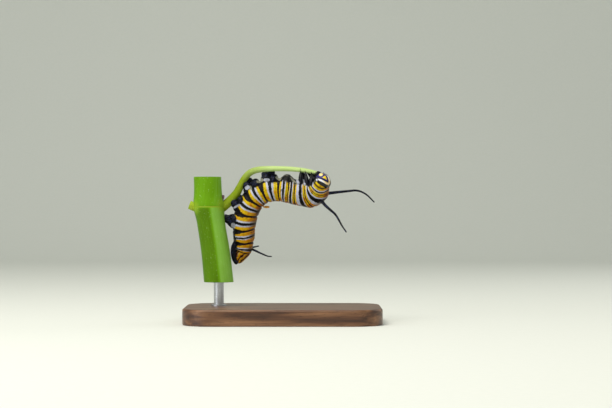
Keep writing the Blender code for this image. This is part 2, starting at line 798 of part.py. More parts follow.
def base_outline(inset, height):
    """A rounded rectangle at this height, drawn in by inset."""
    points = []
    corner = BASE_CORNER - inset
    for k, (x, y) in enumerate(((1, 1), (-1, 1), (-1, -1), (1, -1))):
        centre = np.array(
            (x * (BASE_LENGTH / 2 - BASE_CORNER), y * (BASE_DEPTH / 2 - BASE_CORNER), height)
        )
        for step in range(BASE_CORNER_STEPS + 1):
            turn = math.pi / 2 * (k + step / BASE_CORNER_STEPS)
            points.append(centre + corner * (math.cos(turn) * X_AXIS + math.sin(turn) * Y_AXIS))
    return points


def stand():
    """A flat base, and one short rod up into the stem's lower cut."""
    shoulder = BASE_THICKNESS - BASE_BEVEL
    rings = [
        base_outline(0.0, 0.0),
        base_outline(0.0, shoulder),
        base_outline(BASE_EASE * BASE_BEVEL, BASE_THICKNESS - BASE_EASE * BASE_BEVEL),
        base_outline(BASE_BEVEL, BASE_THICKNESS),
    ]
    mesh_from_rings("stand_base", rings, ("wood",))
    foot = np.array(STEM_PATH[0])
    levels = (BASE_THICKNESS + GAP, foot[2] - GAP)
    rings = [
        ring(np.array((foot[0], foot[1], z)), X_AXIS, Y_AXIS, (ROD_RADIUS, ROD_RADIUS), ROD_SIDES)
        for z in levels
    ]
    mesh_from_rings("stand_rod", rings, ("steel",))


def main():
    clear_scene()
    body, perch = Body(), Perch()
    for i in range(len(body.names)):
        body.segment(i)
    perch.build()
    stand()
    body_cutter = body.clearance()
    perch_cutters = perch.clearances()
    cutters = [body_cutter, *perch_cutters]
    head(body_cutter)
    for mirror, side in ((1, "left"), (-1, "right")):
        for number in PROLEG_SEGMENTS:
            proleg(body, perch, number, mirror, side, cutters)
        anal_proleg(mirror, side, cutters)
        for number in (1, 2, 3):
            true_leg(body, perch, number, mirror, side, cutters)
    filaments(body_cutter)
    remove(cutters)


main()
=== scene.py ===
"""The looks of the monarch larva: banded skin, horny head and legs, green perch and its stand.

Lengths are in millimetres and become metres where a mesh is made. +X runs to the head, +Z is up,
and the larva's left side faces the camera, which looks along +Y.
"""

import math

import bmesh
import bpy
import numpy as np
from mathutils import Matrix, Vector, noise


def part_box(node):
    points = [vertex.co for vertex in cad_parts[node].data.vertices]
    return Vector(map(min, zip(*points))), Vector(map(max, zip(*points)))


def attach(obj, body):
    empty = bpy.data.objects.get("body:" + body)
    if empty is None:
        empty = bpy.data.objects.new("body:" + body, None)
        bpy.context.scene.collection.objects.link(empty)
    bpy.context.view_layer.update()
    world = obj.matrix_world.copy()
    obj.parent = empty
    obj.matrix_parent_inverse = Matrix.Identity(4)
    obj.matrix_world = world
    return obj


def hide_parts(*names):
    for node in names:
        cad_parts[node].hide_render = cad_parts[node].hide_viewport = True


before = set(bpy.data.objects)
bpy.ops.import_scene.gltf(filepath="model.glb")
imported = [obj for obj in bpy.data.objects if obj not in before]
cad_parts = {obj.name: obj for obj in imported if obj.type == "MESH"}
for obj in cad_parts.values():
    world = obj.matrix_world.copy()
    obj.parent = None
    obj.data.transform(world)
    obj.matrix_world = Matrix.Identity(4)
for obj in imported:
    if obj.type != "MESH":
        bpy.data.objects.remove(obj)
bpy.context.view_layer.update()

MM = 0.001
SEED = 7  # for the places of the fine hairs
Y_AXIS = np.array((0.0, 1.0, 0.0))
Z_AXIS = np.array((0.0, 0.0, 1.0))

# The trunk from tail to neck: each segment's name, the middle of its black band, its half thickness,
# and where it ends on the way to the next segment's band
TAIL_END = (-11.35, 4.0, 14.55)
SEGMENTS = (
    ("abdomen_10", (-11.0, 3.95, 15.6), 1.25, 0.5),
    ("abdomen_9", (-10.6, 3.9, 16.7), 1.8, 0.5),
    ("abdomen_8", (-10.15, 3.85, 18.0), 2.3, 0.47),
    ("abdomen_7", (-9.95, 3.7, 21.0), 2.8, 0.49),
    ("abdomen_6", (-9.85, 3.3, 24.5), 3.05, 0.49),
    ("abdomen_5", (-8.8, 2.85, 28.5), 3.1, 0.5),
    ("abdomen_4", (-6.4, 2.4, 31.8), 3.1, 0.45),
    ("abdomen_3", (-3.1, 2.0, 33.1), 3.05, 0.6),
    ("abdomen_2", (0.05, 1.6, 33.1), 3.1, 0.57),
    ("abdomen_1", (1.9, 1.25, 32.8), 3.2, 0.37),
    ("thorax_3", (4.6, 0.6, 32.4), 3.45, 0.38),
    ("thorax_2", (7.2, -0.35, 32.35), 3.4, 0.62),
    ("thorax_1", (8.7, -1.4, 33.0), 3.05, 1.0),
)
NECK = (10.1, -2.9, 35.0)
NECK_HALF = 2.3
NAPE_DEPTH = 0.45  # how far the back is drawn in behind the head
HUMP_HEIGHT = 0.4  # how far the back swells between the second and third thorax segments
# The tail's end: its share of the last segment's thickness, how bluntly it closes, and its last dot
TAIL_CLOSING = 0.8
TAIL_BLUNTNESS = 2.6
TAIL_ROUNDING = 0.02
# How far the back is turned away from the camera's side at these segments
ROLL_SEGMENTS = ("abdomen_6", "abdomen_3", "thorax_2", "thorax_1")
ROLLS_DEG = (8.0, 15.0, 15.0, 3.0)
# The soft ridge low on each flank, counted from the middle of the back
PLEURAL_DEG = 118.0
PLEURAL_WIDTH_DEG = 20.0
PLEURAL_RISE = 0.035  # in shares of the trunk's radius, as the next two
BELLY_FLAT = 0.07
FOLD_DEPTH = 0.062
SPIRACLE_DEG = 101.0
# A swelling of the belly at the rear edge of this segment: its height, its length, how far behind the
# edge its middle lies, and its width
LUMP_AT = "abdomen_1"
LUMP_HEIGHT = 1.1
LUMP_LENGTH = 1.15
LUMP_BACKSET = 0.35
LUMP_WIDTH_DEG = 42.0

# Width in mm of each segment's bands at mid flank, from its rear edge to its front one:
# dark, yellow, white, black, white, yellow, dark
BAND_WIDTHS = (
    (0.1, 0.3, 0.12, 0.2, 0.12, 0.3, 0.1),
    (0.1, 0.3, 0.12, 0.2, 0.12, 0.3, 0.1),
    (0.16, 0.45, 0.15, 0.34, 0.15, 0.5, 0.16),
    (0.2, 0.6, 0.18, 0.34, 0.22, 0.7, 0.2),
    (0.22, 0.85, 0.36, 0.66, 0.32, 0.98, 0.22),
    (0.3, 0.88, 0.32, 0.66, 0.3, 0.92, 0.25),
    (0.33, 0.82, 0.36, 0.7, 0.4, 0.94, 0.3),
    (0.3, 0.78, 0.42, 0.7, 0.4, 1.02, 0.2),
    (0.12, 0.5, 0.25, 0.62, 0.25, 0.82, 0.1),
    (0.1, 0.15, 0.08, 0.5, 0.17, 0.4, 0.12),
    (0.1, 0.34, 0.58, 0.6, 0.1, 0.45, 0.1),
    (0.08, 0.5, 0.62, 1.02, 0.28, 0.46, 0.06),
    (0.06, 0.5, 0.03, 0.38, 0.18, 1.5, 1.0),
)
# How many times wider the dark edge bands grow at the belly's side, tail to neck
DARK_WEDGE = (1.5, 1.5, 2.4, 2.8, 2.6, 2.6, 2.4, 2.0, 2.2, 1.8, 1.2, 1.2, 1.0)
BAND_CELLS = 7
# How many mm each segment's bands lie nearer to the head than a flat ring would, tail to neck: along
# the belly, the flank and the back
BAND_LEADS = (
    (0.0, 0.0, 0.0),
    (0.0, 0.0, 0.1),
    (0.0, 0.1, 0.2),
    (0.1, 0.15, 0.85),
    (0.25, 0.2, 0.8),
    (1.0, 0.3, 0.7),
    (0.6, 0.1, -0.1),
    (0.1, 0.33, 0.85),
    (0.4, 0.55, 0.85),
    (0.2, 0.9, 0.75),
    (-0.1, 0.7, 1.0),
    (0.75, 1.3, 1.8),
    (0.9, 1.05, 1.85),
)
# A brown line runs along the front yellow band: its place in the band, strength, and share of the band
BAND_LINES = (
    *((0.5, 0.3, 0.13),) * 7,
    (0.5, 0.45, 0.13),
    (0.5, 0.85, 0.13),
    (0.5, 0.95, 0.13),
    (0.5, 0.85, 0.14),
    (0.5, 0.95, 0.14),
    (0.52, 1.0, 0.2),
)

# Head: its middle, the way its face looks, and the way its crown points
HEAD = np.array((9.95, -3.4, 35.2))
FACE_WAY = (0.42, -0.86, 0.3)
CROWN_WAY = (0.63, -0.03, -0.78)
HEAD_HALVES = (1.75, 1.75, 2.25)  # along the face's way, across, and along the crown's way
HEAD_REAR = 0.84  # the head's rear half is this share as deep as its front half
# The yellow plate of the face, a triangle in shares of the head's halves: slope, apex and foot
PLATE_SLOPE = 1.67
PLATE_TOP = 0.2
PLATE_FOOT = -0.31
# The pale arch over the plate, in the same shares
ARCH_SLOPE = 0.2
ARCH_CURVE = 1.66
ARCH_TOP = 0.66
# The small eyes: how far out to the side and down towards the mouth each one sits
STEMMATA_DEG = ((62, 18), (72, 28), (74, 42), (64, 52), (52, 50), (58, 36))
STEMMA_RADIUS = 0.15
# Joints of palp and feeler: how far out each lies or where it starts and ends, and its radius
PALP_JOINTS = ((0.0, 0.2), (0.24, 0.16), (0.44, 0.12), (0.6, 0.08))
FEELER_JOINTS = ((0.0, 0.28, (0.22, 0.23, 0.2)), (0.25, 0.46, (0.15, 0.16, 0.13)))

# Limbs. Spreads are counted from the middle of the belly. A hug is how far a foot reaches round the
# stalk to its own side.
PROLEG_SEGMENTS = (3, 4, 5, 6)
PROLEG_SPREAD_DEG = 16.0
PROLEG_BACKSETS = {3: 0.75, 4: 0.75, 5: 0.75, 6: 0.3}  # how far behind its black band each one grows
PROLEG_STAGGER = 1.2  # a right foot stands this far ahead of the left one
# Half length of a proleg along the body, root to sole, and its width as a share of that
PROLEG_RADII = (1.25, 1.24, 1.22, 1.2, 1.16, 1.08, 0.97, 1.0, 1.06, 1.06, 0.88)
PROLEG_FLAT = 0.72
PROLEG_HUG = 0.35
# How far each left foot stands from where the trunk alone would put it, and how far it reaches round
# the stalk
SOLE_SHIFTS = {3: (0.35, 0.6, -0.5), 4: (0.7, 0.3, 0.7), 5: (0.45, 0.0, 0.25), 6: (0.15, 0.0, 1.9)}
LEFT_HUGS = {3: -0.3, 4: 0.1, 5: 0.35, 6: 0.35}
SOLE_SPARE = 0.3  # a sole's middle lies this far off the perch, half the sole's thickness
# Patches by the prolegs as the side view shows them: X and Z, tilt in degrees, half length and width
WHITE_PATCHES = (
    (-4.1, 35.5, 0.0, 0.75, 0.38),
    (-8.9, 33.6, 40.0, 0.62, 0.5),
    (-11.55, 28.95, 30.0, 1.0, 0.24),
    (-12.45, 24.1, 90.0, 0.72, 0.52),
    (3.72, 35.4, 95.0, 0.95, 0.42),
    (5.3, 34.9, 100.0, 0.95, 0.26),
    (7.3, 34.7, 100.0, 0.7, 0.28),
)
OLIVE_PATCHES = (
    (-5.75, 35.35, 20.0, 0.85, 0.5),
    (-8.05, 33.5, 110.0, 0.6, 0.24),
    (-1.1, 36.0, -40.0, 0.75, 0.5),
    (2.4, 35.5, -55.0, 0.9, 0.16),
    (3.0, 35.1, -50.0, 0.8, 0.12),
)
# The soft lobe beside each proleg's root, and how far ahead of the black band it lies
LOBE_SPREAD_DEG = 24.0
LOBE_RADIUS = 1.1
LOBE_SUNK = 0.25
LOBE_FORWARD = 0.9
# The left tail proleg lies along the stem as a long pad. The right one mirrors it behind the body.
ANAL_PATH = (
    (-12.0, 2.95, 20.1),
    (-12.35, 2.85, 18.7),
    (-12.4, 2.85, 17.1),
    (-12.15, 2.95, 15.7),
    (-11.8, 3.05, 14.8),
)
ANAL_RADII = (0.45, 0.68, 0.74, 0.7, 0.5)
ANAL_MIDDLE_Y = 3.95
# True legs: where the claws of pairs 1 to 3 hold the stalk, how far the knees bow out, and how long
# the claws are
LEG_SPREAD_DEG = 33.0
LEG_GRIP_X = (7.35, 5.85, 4.55)
LEG_HUG = 0.8
LEG_BOW = 0.35
LEG_CLAWS = (0.7, 0.7, 0.8)
# The horny rings of a leg: where each starts and ends in shares of the leg's length, and its radii
LEG_RINGS = (
    (0.0, 0.4, (0.56, 0.6, 0.54)),
    (0.36, 0.68, (0.5, 0.52, 0.43)),
    (0.64, 0.88, (0.36, 0.38, 0.29)),
    (0.82, 0.97, (0.23, 0.23, 0.16)),
)
COXA_RADIUS = 0.75  # the soft swelling that each leg grows from, and how far behind the leg it lies
COXA_BEHIND = 0.5
LEG_AHEAD = (0.65, 0.7, 0.3)  # the roots of the front legs lie this far ahead of their black bands
CLEAR = 0.06  # space kept between the skin and the perch
LEG_CLEAR = 0.02  # and between a claw and the perch
HOOKS = 15  # hooks on each sole
PROLEG_HAIRS, LEG_HAIRS, HEAD_HAIRS = 16, 12, 70
# A breathing hole's rim: each ring's scale, and how far it stands out of the skin
RIM_PROFILE = ((1.3, -0.05), (1.2, 0.03), (1.0, 0.05), (0.75, 0.03), (0.45, -0.02))
# A small pinched fold of skin that stands out from the bend of the back: middle and half sizes
FOLD_AT = (-4.15, 1.9, 28.75)
FOLD_HALVES = (0.85, 0.4, 0.3)

# How finely the trunk is drawn, and the fineness of the fused skin
TRUNK_SIDES = 80
TRUNK_RINGS = 330
SKIN_VOXEL = 0.075
CHUNK = 4096  # this many points are placed at a time, to save memory

# The root of the thickest filament widens by this much, and the others in proportion
FILAMENT_FLARE = 0.16
FILAMENT_THICKEST = 0.47
# Filaments: each one's radius at its root and at its tip, and its line from inside the body to the tip
FILAMENTS = (
    (  # front left
        (FILAMENT_THICKEST, 0.17),
        (8.9, -2.1, 31.1),
        (10.5, -3.2, 29.2),
        (11.8, -4.1, 28.0),
        (12.95, -4.8, 26.95),
        (13.75, -5.4, 25.7),
        (14.5, -5.9, 24.3),
        (15.6, -6.5, 22.65),
    ),
    (  # front right
        (FILAMENT_THICKEST, 0.17),
        (9.6, 1.0, 32.2),
        (11.4, 2.0, 32.2),
        (13.1, 2.7, 32.4),
        (16.5, 3.4, 32.75),
        (18.1, 3.7, 32.9),
        (19.3, 3.9, 32.7),
        (20.5, 4.1, 32.15),
        (21.4, 4.25, 31.5),
        (22.9, 4.5, 30.0),
    ),
    (  # rear left
        (0.34, 0.16),
        (-8.5, 3.35, 18.4),
        (-7.2, 2.9, 17.9),
        (-6.05, 2.4, 17.38),
        (-4.9, 2.0, 16.87),
        (-3.8, 1.7, 16.45),
        (-2.9, 1.5, 16.4),
    ),
    (  # rear right
        (0.34, 0.16),
        (-8.9, 5.0, 18.4),
        (-7.9, 6.6, 18.5),
        (-7.1, 7.9, 18.65),
        (-6.3, 9.0, 18.8),
    ),
)

# Perch
STEM_PATH = (
    (-16.05, 2.0, 10.0),
    (-16.85, 2.0, 17.5),
    (-17.95, 2.0, 24.5),
    (-18.6, 2.0, 29.3),
    (-18.9, 2.0, 36.3),
)
JOINT_HEIGHT = 28.8
STEM_HEIGHTS = (10.0, JOINT_HEIGHT, 36.3)
STEM_RADII = (3.7, 3.45, 3.42)
JOINT_SWELL = 0.4
JOINT_SWELL_LENGTH = 2.6
STALK_PATH = (
    (-17.4, 2.3, 27.4),
    (-14.4, 2.25, 29.3),
    (-11.9, 2.15, 31.85),
    (-10.8, 2.0, 33.7),
    (-9.65, 1.8, 35.8),
    (-8.35, 1.65, 37.25),
    (-6.5, 1.45, 38.0),
    (-4.0, 1.1, 38.25),
    (-1.0, 0.7, 38.3),
    (2.0, 0.2, 38.2),
    (5.0, -0.5, 37.9),
    (7.1, -1.0, 37.5),
    (8.6, -1.35, 37.15),
)
STALK_RADII = (1.5, 1.2, 1.04, 0.94, 0.87, 0.82, 0.78, 0.72, 0.64, 0.6, 0.56, 0.52, 0.42)
# The cut stub of the leaf that faced this one across the joint
STUB_PATH = ((-20.0, 2.0, 28.3), (-22.0, 2.0, 28.8), (-23.4, 2.0, 29.3))
STUB_RADII = (1.5, 1.15, 1.05)
BUD_AT = (-14.95, 1.3, 31.0)  # the bud between stem and stalk
# Where stalk and stub spring from the stem, and how far their colour runs out over it
SPRINGS = ((-15.3, 0.3, 29.1), (-21.6, 0.4, 28.7))
SPRING_REACH = 2.4
# The stem's faces are painted darker and lighter as shade and light; the stalk takes one level on that
# scale
STALK_PAINTED_LIGHT = 0.7  # how light the stalk is on the stem's scale from its dark face to its light one
# Rings of a cut face, from pith to rind, and what colour shows at which share of the radius
CUT_SHARES = (0.02, 0.3, 0.55, 0.72, 0.8, 0.9, 0.97)
CUT_COLOURS = (
    (0.0, "#E9EBCB"),
    (0.5, "#D7E0A8"),
    (0.72, "#B9CE7A"),
    (0.78, "#7FA24A"),
    (0.86, "#A8C468"),
    (1.0, "#6F9440"),
)

# Camera: one pixel of the 612 x 408 picture is this many mm at the larva's middle plane
PIXEL = 0.25
PICTURE = (612, 408)
ORIGIN_PIXEL = (283.0, 322.0)  # where the model's origin falls in the picture
PLANE_Y = 1.5
CAMERA_AWAY = 425.0
SENSOR = 36.0


def unit(vector):
    vector = np.asarray(vector, float)
    return vector / np.linalg.norm(vector)


def square_to(way):
    """A way at right angles to this one."""
    return unit(np.cross(way, Y_AXIS if abs(way[1]) < 0.9 else Z_AXIS))


def smooth(value, low, high):
    """0 below low, 1 above high, and a soft step between them."""
    t = np.clip((np.asarray(value, float) - low) / (high - low), 0.0, 1.0)
    return t * t * (3 - 2 * t)


def bump(value, middle, width):
    """1 at the middle, fading softly to 0 on both sides."""
    return np.exp(-(((value - middle) / width) ** 2))


def linear(hex_colour, alpha=1.0):
    """An sRGB hex colour as the linear values that a shader takes."""
    made = []
    for i in (1, 3, 5):
        c = int(hex_colour[i : i + 2], 16) / 255
        made.append(c / 12.92 if c <= 0.04045 else ((c + 0.055) / 1.055) ** 2.4)
    return (*made, alpha)


def node(tree, kind, settings=(), inputs=()):
    """Adds one node with its settings, and fills its sockets with values or other nodes' outputs."""
    made = tree.nodes.new(kind)
    for key, value in dict(settings).items():
        if key == "stops":
            elements = made.color_ramp.elements
            while len(elements) < len(value):
                elements.new(1.0)
            for element, (place, colour) in zip(elements, value):
                element.position = place
                element.color = linear(colour)
        else:
            setattr(made, key, value)
    for key, value in dict(inputs).items():
        if isinstance(value, bpy.types.NodeSocket):
            tree.links.new(value, made.inputs[key])
        else:
            made.inputs[key].default_value = value
    return made


def new_material(name, roughness, ior=1.5, metallic=0.0, specular=0.5):
    """A material with its Principled shader, and that shader's constant values."""
    material = bpy.data.materials.new(name)
    material.use_nodes = True
    tree = material.node_tree
    shader = tree.nodes["Principled BSDF"]
    shader.inputs["Roughness"].default_value = roughness
    shader.inputs["Metallic"].default_value = metallic
    if not metallic:
        shader.inputs["IOR"].default_value = ior
        shader.inputs["Specular IOR Level"].default_value = specular
    return material, tree, shader


def object_noise(tree, size_mm, detail=3.0, stretch=(1, 1, 1)):
    """Noise with lumps of this size, on the model's own coordinates."""
    place = node(tree, "ShaderNodeTexCoord")
    scaled = node(
        tree,
        "ShaderNodeMapping",
        inputs={
            "Vector": place.outputs["Object"],
            "Scale": tuple(1 / (size_mm * MM * s) for s in stretch),
        },
    )
    inputs = {"Vector": scaled.outputs["Vector"], "Scale": 1.0, "Detail": detail}
    return node(tree, "ShaderNodeTexNoise", inputs=inputs).outputs["Fac"]


def attribute(tree, name):
    """A value that the mesh carries at each of its points."""
    return node(tree, "ShaderNodeAttribute", {"attribute_name": name}).outputs["Fac"]


def maths(tree, operation, *values):
    """One sum on plain numbers or other nodes' outputs."""
    return node(tree, "ShaderNodeMath", {"operation": operation}, dict(enumerate(values))).outputs[0]


def spread(tree, value, low, high, to_low=0.0, to_high=1.0):
    """The value's place between low and high, as a number from to_low to to_high."""
    inputs = {"Value": value, "From Min": low, "From Max": high, "To Min": to_low, "To Max": to_high}
    return node(tree, "ShaderNodeMapRange", inputs=inputs).outputs[0]


def ramp(tree, value, stops):
    return node(tree, "ShaderNodeValToRGB", {"stops": stops}, {"Fac": value}).outputs["Color"]


def mottle(tree, shader, size_mm, detail, stops):
    """Colours the whole material by soft lumps of this size."""
    tint = ramp(tree, object_noise(tree, size_mm, detail), stops)
    tree.links.new(tint, shader.inputs["Base Color"])


def glow(shader, weight, reach, unit_mm):
    """Lets light seep in: how much of it, and how far its red, green and blue reach."""
    shader.inputs["Subsurface Weight"].default_value = weight
    shader.inputs["Subsurface Radius"].default_value = reach
    shader.inputs["Subsurface Scale"].default_value = unit_mm * MM


def mix(tree, share, under, over, blend="MIX"):
    """Puts this share of one colour over another. Each is a hex value or a node's output."""
    inputs = {"Factor": share}
    for key, colour in ((6, under), (7, over)):
        inputs[key] = linear(colour) if isinstance(colour, str) else colour
    settings = {"data_type": "RGBA", "blend_type": blend}
    return node(tree, "ShaderNodeMix", settings, inputs).outputs[2]


def add_bump(tree, shader, height, distance_mm, strength=1.0, normal=None):
    inputs = {"Height": height, "Distance": distance_mm * MM, "Strength": strength}
    if normal is not None:
        inputs["Normal"] = normal
    made = node(tree, "ShaderNodeBump", inputs=inputs)
    tree.links.new(made.outputs["Normal"], shader.inputs["Normal"])
    return made.outputs["Normal"]


class Path:
    """A smooth line through a few points, read by its length."""

    STEPS = 24

    def __init__(self, points):
        points = np.array(points, float)
        padded = np.vstack((2 * points[0] - points[1], points, 2 * points[-1] - points[-2]))
        samples = []
        for i in range(1, len(padded) - 2):
            p0, p1, p2, p3 = padded[i - 1 : i + 3]
            for step in range(self.STEPS):
                u = step / self.STEPS
                samples.append(
                    p1
                    + 0.5 * u * (p2 - p0)
                    + u * u * (p0 - 2.5 * p1 + 2 * p2 - 0.5 * p3)
                    + u * u * u * (1.5 * (p1 - p2) + 0.5 * (p3 - p0))
                )
        samples.append(points[-1])
        self.samples = np.array(samples)
        steps = np.linalg.norm(np.diff(self.samples, axis=0), axis=1)
        self.lengths = np.concatenate(((0.0,), np.cumsum(steps)))
        self.knots = self.lengths[:: self.STEPS]
        self.length = self.lengths[-1]

    def at(self, s):
        return np.array([np.interp(s, self.lengths, self.samples[:, i]) for i in range(3)])

    def way(self, s, reach=0.5):
        low, high = max(s - reach, 0.0), min(s + reach, self.length)
        return unit(self.at(high) - self.at(low))

    def nearest(self, point):
        gaps = np.linalg.norm(self.samples - np.asarray(point), axis=1)
        return self.lengths[gaps.argmin()]


def mesh_object(name, points, faces):
    """A smoothly shaded mesh object from points in mm."""
    data = bpy.data.meshes.new(name)
    data.from_pydata((np.asarray(points) * MM).tolist(), [], faces)
    data.update()
    data.shade_smooth()
    obj = bpy.data.objects.new(name, data)
    bpy.context.scene.collection.objects.link(obj)
    return obj


def grid_faces(rings, sides, start=0):
    """Faces that join rings of points in order, with a cap at each end."""
    faces = []
    for i in range(rings - 1):
        for j in range(sides):
            k = (j + 1) % sides
            low, high = start + i * sides, start + (i + 1) * sides
            faces.append((low + j, low + k, high + k, high + j))
    faces.append(tuple(start + j for j in reversed(range(sides))))
    last = start + (rings - 1) * sides
    faces.append(tuple(last + j for j in range(sides)))
    return faces


class Builder:
    """Gathers many small closed shapes into one mesh."""

    def __init__(self):
        self.points = []
        self.faces = []
        self.shapes = []

    def rings(self, rings):
        rings = np.array(rings)
        self.shapes.append((len(self.points), len(rings), len(rings[0])))
        self.faces += grid_faces(len(rings), len(rings[0]), len(self.points))
        self.points += list(rings.reshape(-1, 3))

    def tube(self, points, radii, sides=12, rings=14, flat=1.0, wide=None):
        """A limb through the points, its radius going through the radii. flat squeezes it across
        its wide way."""
        path = Path(points)
        places = np.linspace(0.0, path.length, len(radii))
        side = square_to(path.way(0.0)) if wide is None else wide
        made = []
        for s in np.linspace(0.0, path.length, rings):
            way = path.way(s, reach=0.25 * path.length / rings + 0.02)
            side = unit(side - way * np.dot(side, way))
            other = np.cross(way, side)
            r = np.interp(s, places, radii)
            turns = np.arange(sides) * 2 * math.pi / sides
            made.append(
                path.at(s)
                + r * (np.cos(turns)[:, None] * side + flat * np.sin(turns)[:, None] * other)
            )
        way, r, end = path.way(path.length), radii[-1], made[-1]
        middle = end.mean(0)
        for turn in (30, 55, 75, 86):
            shrink, out = math.cos(math.radians(turn)), math.sin(math.radians(turn))
            made.append(middle + (end - middle) * shrink + way * r * out)
        self.rings(made)

    def ball(self, centre, radii, ways, rings=10, sides=16):
        made = []
        for step in range(1, rings):
            polar = math.pi * step / rings
            turns = np.arange(sides) * 2 * math.pi / sides
            made.append(
                centre
                - radii[0] * math.cos(polar) * ways[0]
                + math.sin(polar)
                * (
                    radii[1] * np.cos(turns)[:, None] * ways[1]
                    + radii[2] * np.sin(turns)[:, None] * ways[2]
                )
            )
        self.rings(made)

    def cone(self, root, tip, radius, bend=None, sides=4):
        """A fine hair or hook from root to tip, bowed by bend at its middle."""
        way = unit(tip - root)
        side = square_to(way)
        other = np.cross(way, side)
        turns = np.arange(sides) * 2 * math.pi / sides
        around = np.cos(turns)[:, None] * side + np.sin(turns)[:, None] * other
        bow = np.zeros(3) if bend is None else bend
        middle = 0.5 * (root + tip) + bow
        widths = ((root, 1.0), (middle, 0.7), (tip, 0.12))
        self.rings([place + share * radius * around for place, share in widths])

    def build(self, name, material):
        obj = mesh_object(name, self.points, self.faces)
        obj.data.materials.append(material)
        return obj


def close_normals(obj):
    mesh = bmesh.new()
    mesh.from_mesh(obj.data)
    bmesh.ops.recalc_face_normals(mesh, faces=mesh.faces)
    mesh.to_mesh(obj.data)
    mesh.free()


def apply_modifiers(obj):
    graph = bpy.context.evaluated_depsgraph_get()
    made = bpy.data.meshes.new_from_object(obj.evaluated_get(graph))
    obj.modifiers.clear()
    obj.data = made


def coordinates(obj):
    flat = np.zeros(len(obj.data.vertices) * 3, np.float32)
    obj.data.vertices.foreach_get("co", flat)
    return flat.reshape(-1, 3).astype(float) / MM


def set_coordinates(obj, points):
    obj.data.vertices.foreach_set("co", (points * MM).astype(np.float32).ravel())
    obj.data.update()


def normals(obj):
    flat = np.zeros(len(obj.data.vertices) * 3, np.float32)
    obj.data.vertices.foreach_get("normal", flat)
    return flat.reshape(-1, 3).astype(float)


def set_attribute(obj, name, values):
    made = obj.data.attributes.new(name, "FLOAT", "POINT")
    made.data.foreach_set("value", np.asarray(values, np.float32))


def noise_at(points, size_mm, offset=0.0):
    """Smooth noise from about -1 to 1 at each point, with lumps of this size."""
    scaled = points / size_mm + offset
    return np.array([noise.noise(p) for p in scaled.tolist()])


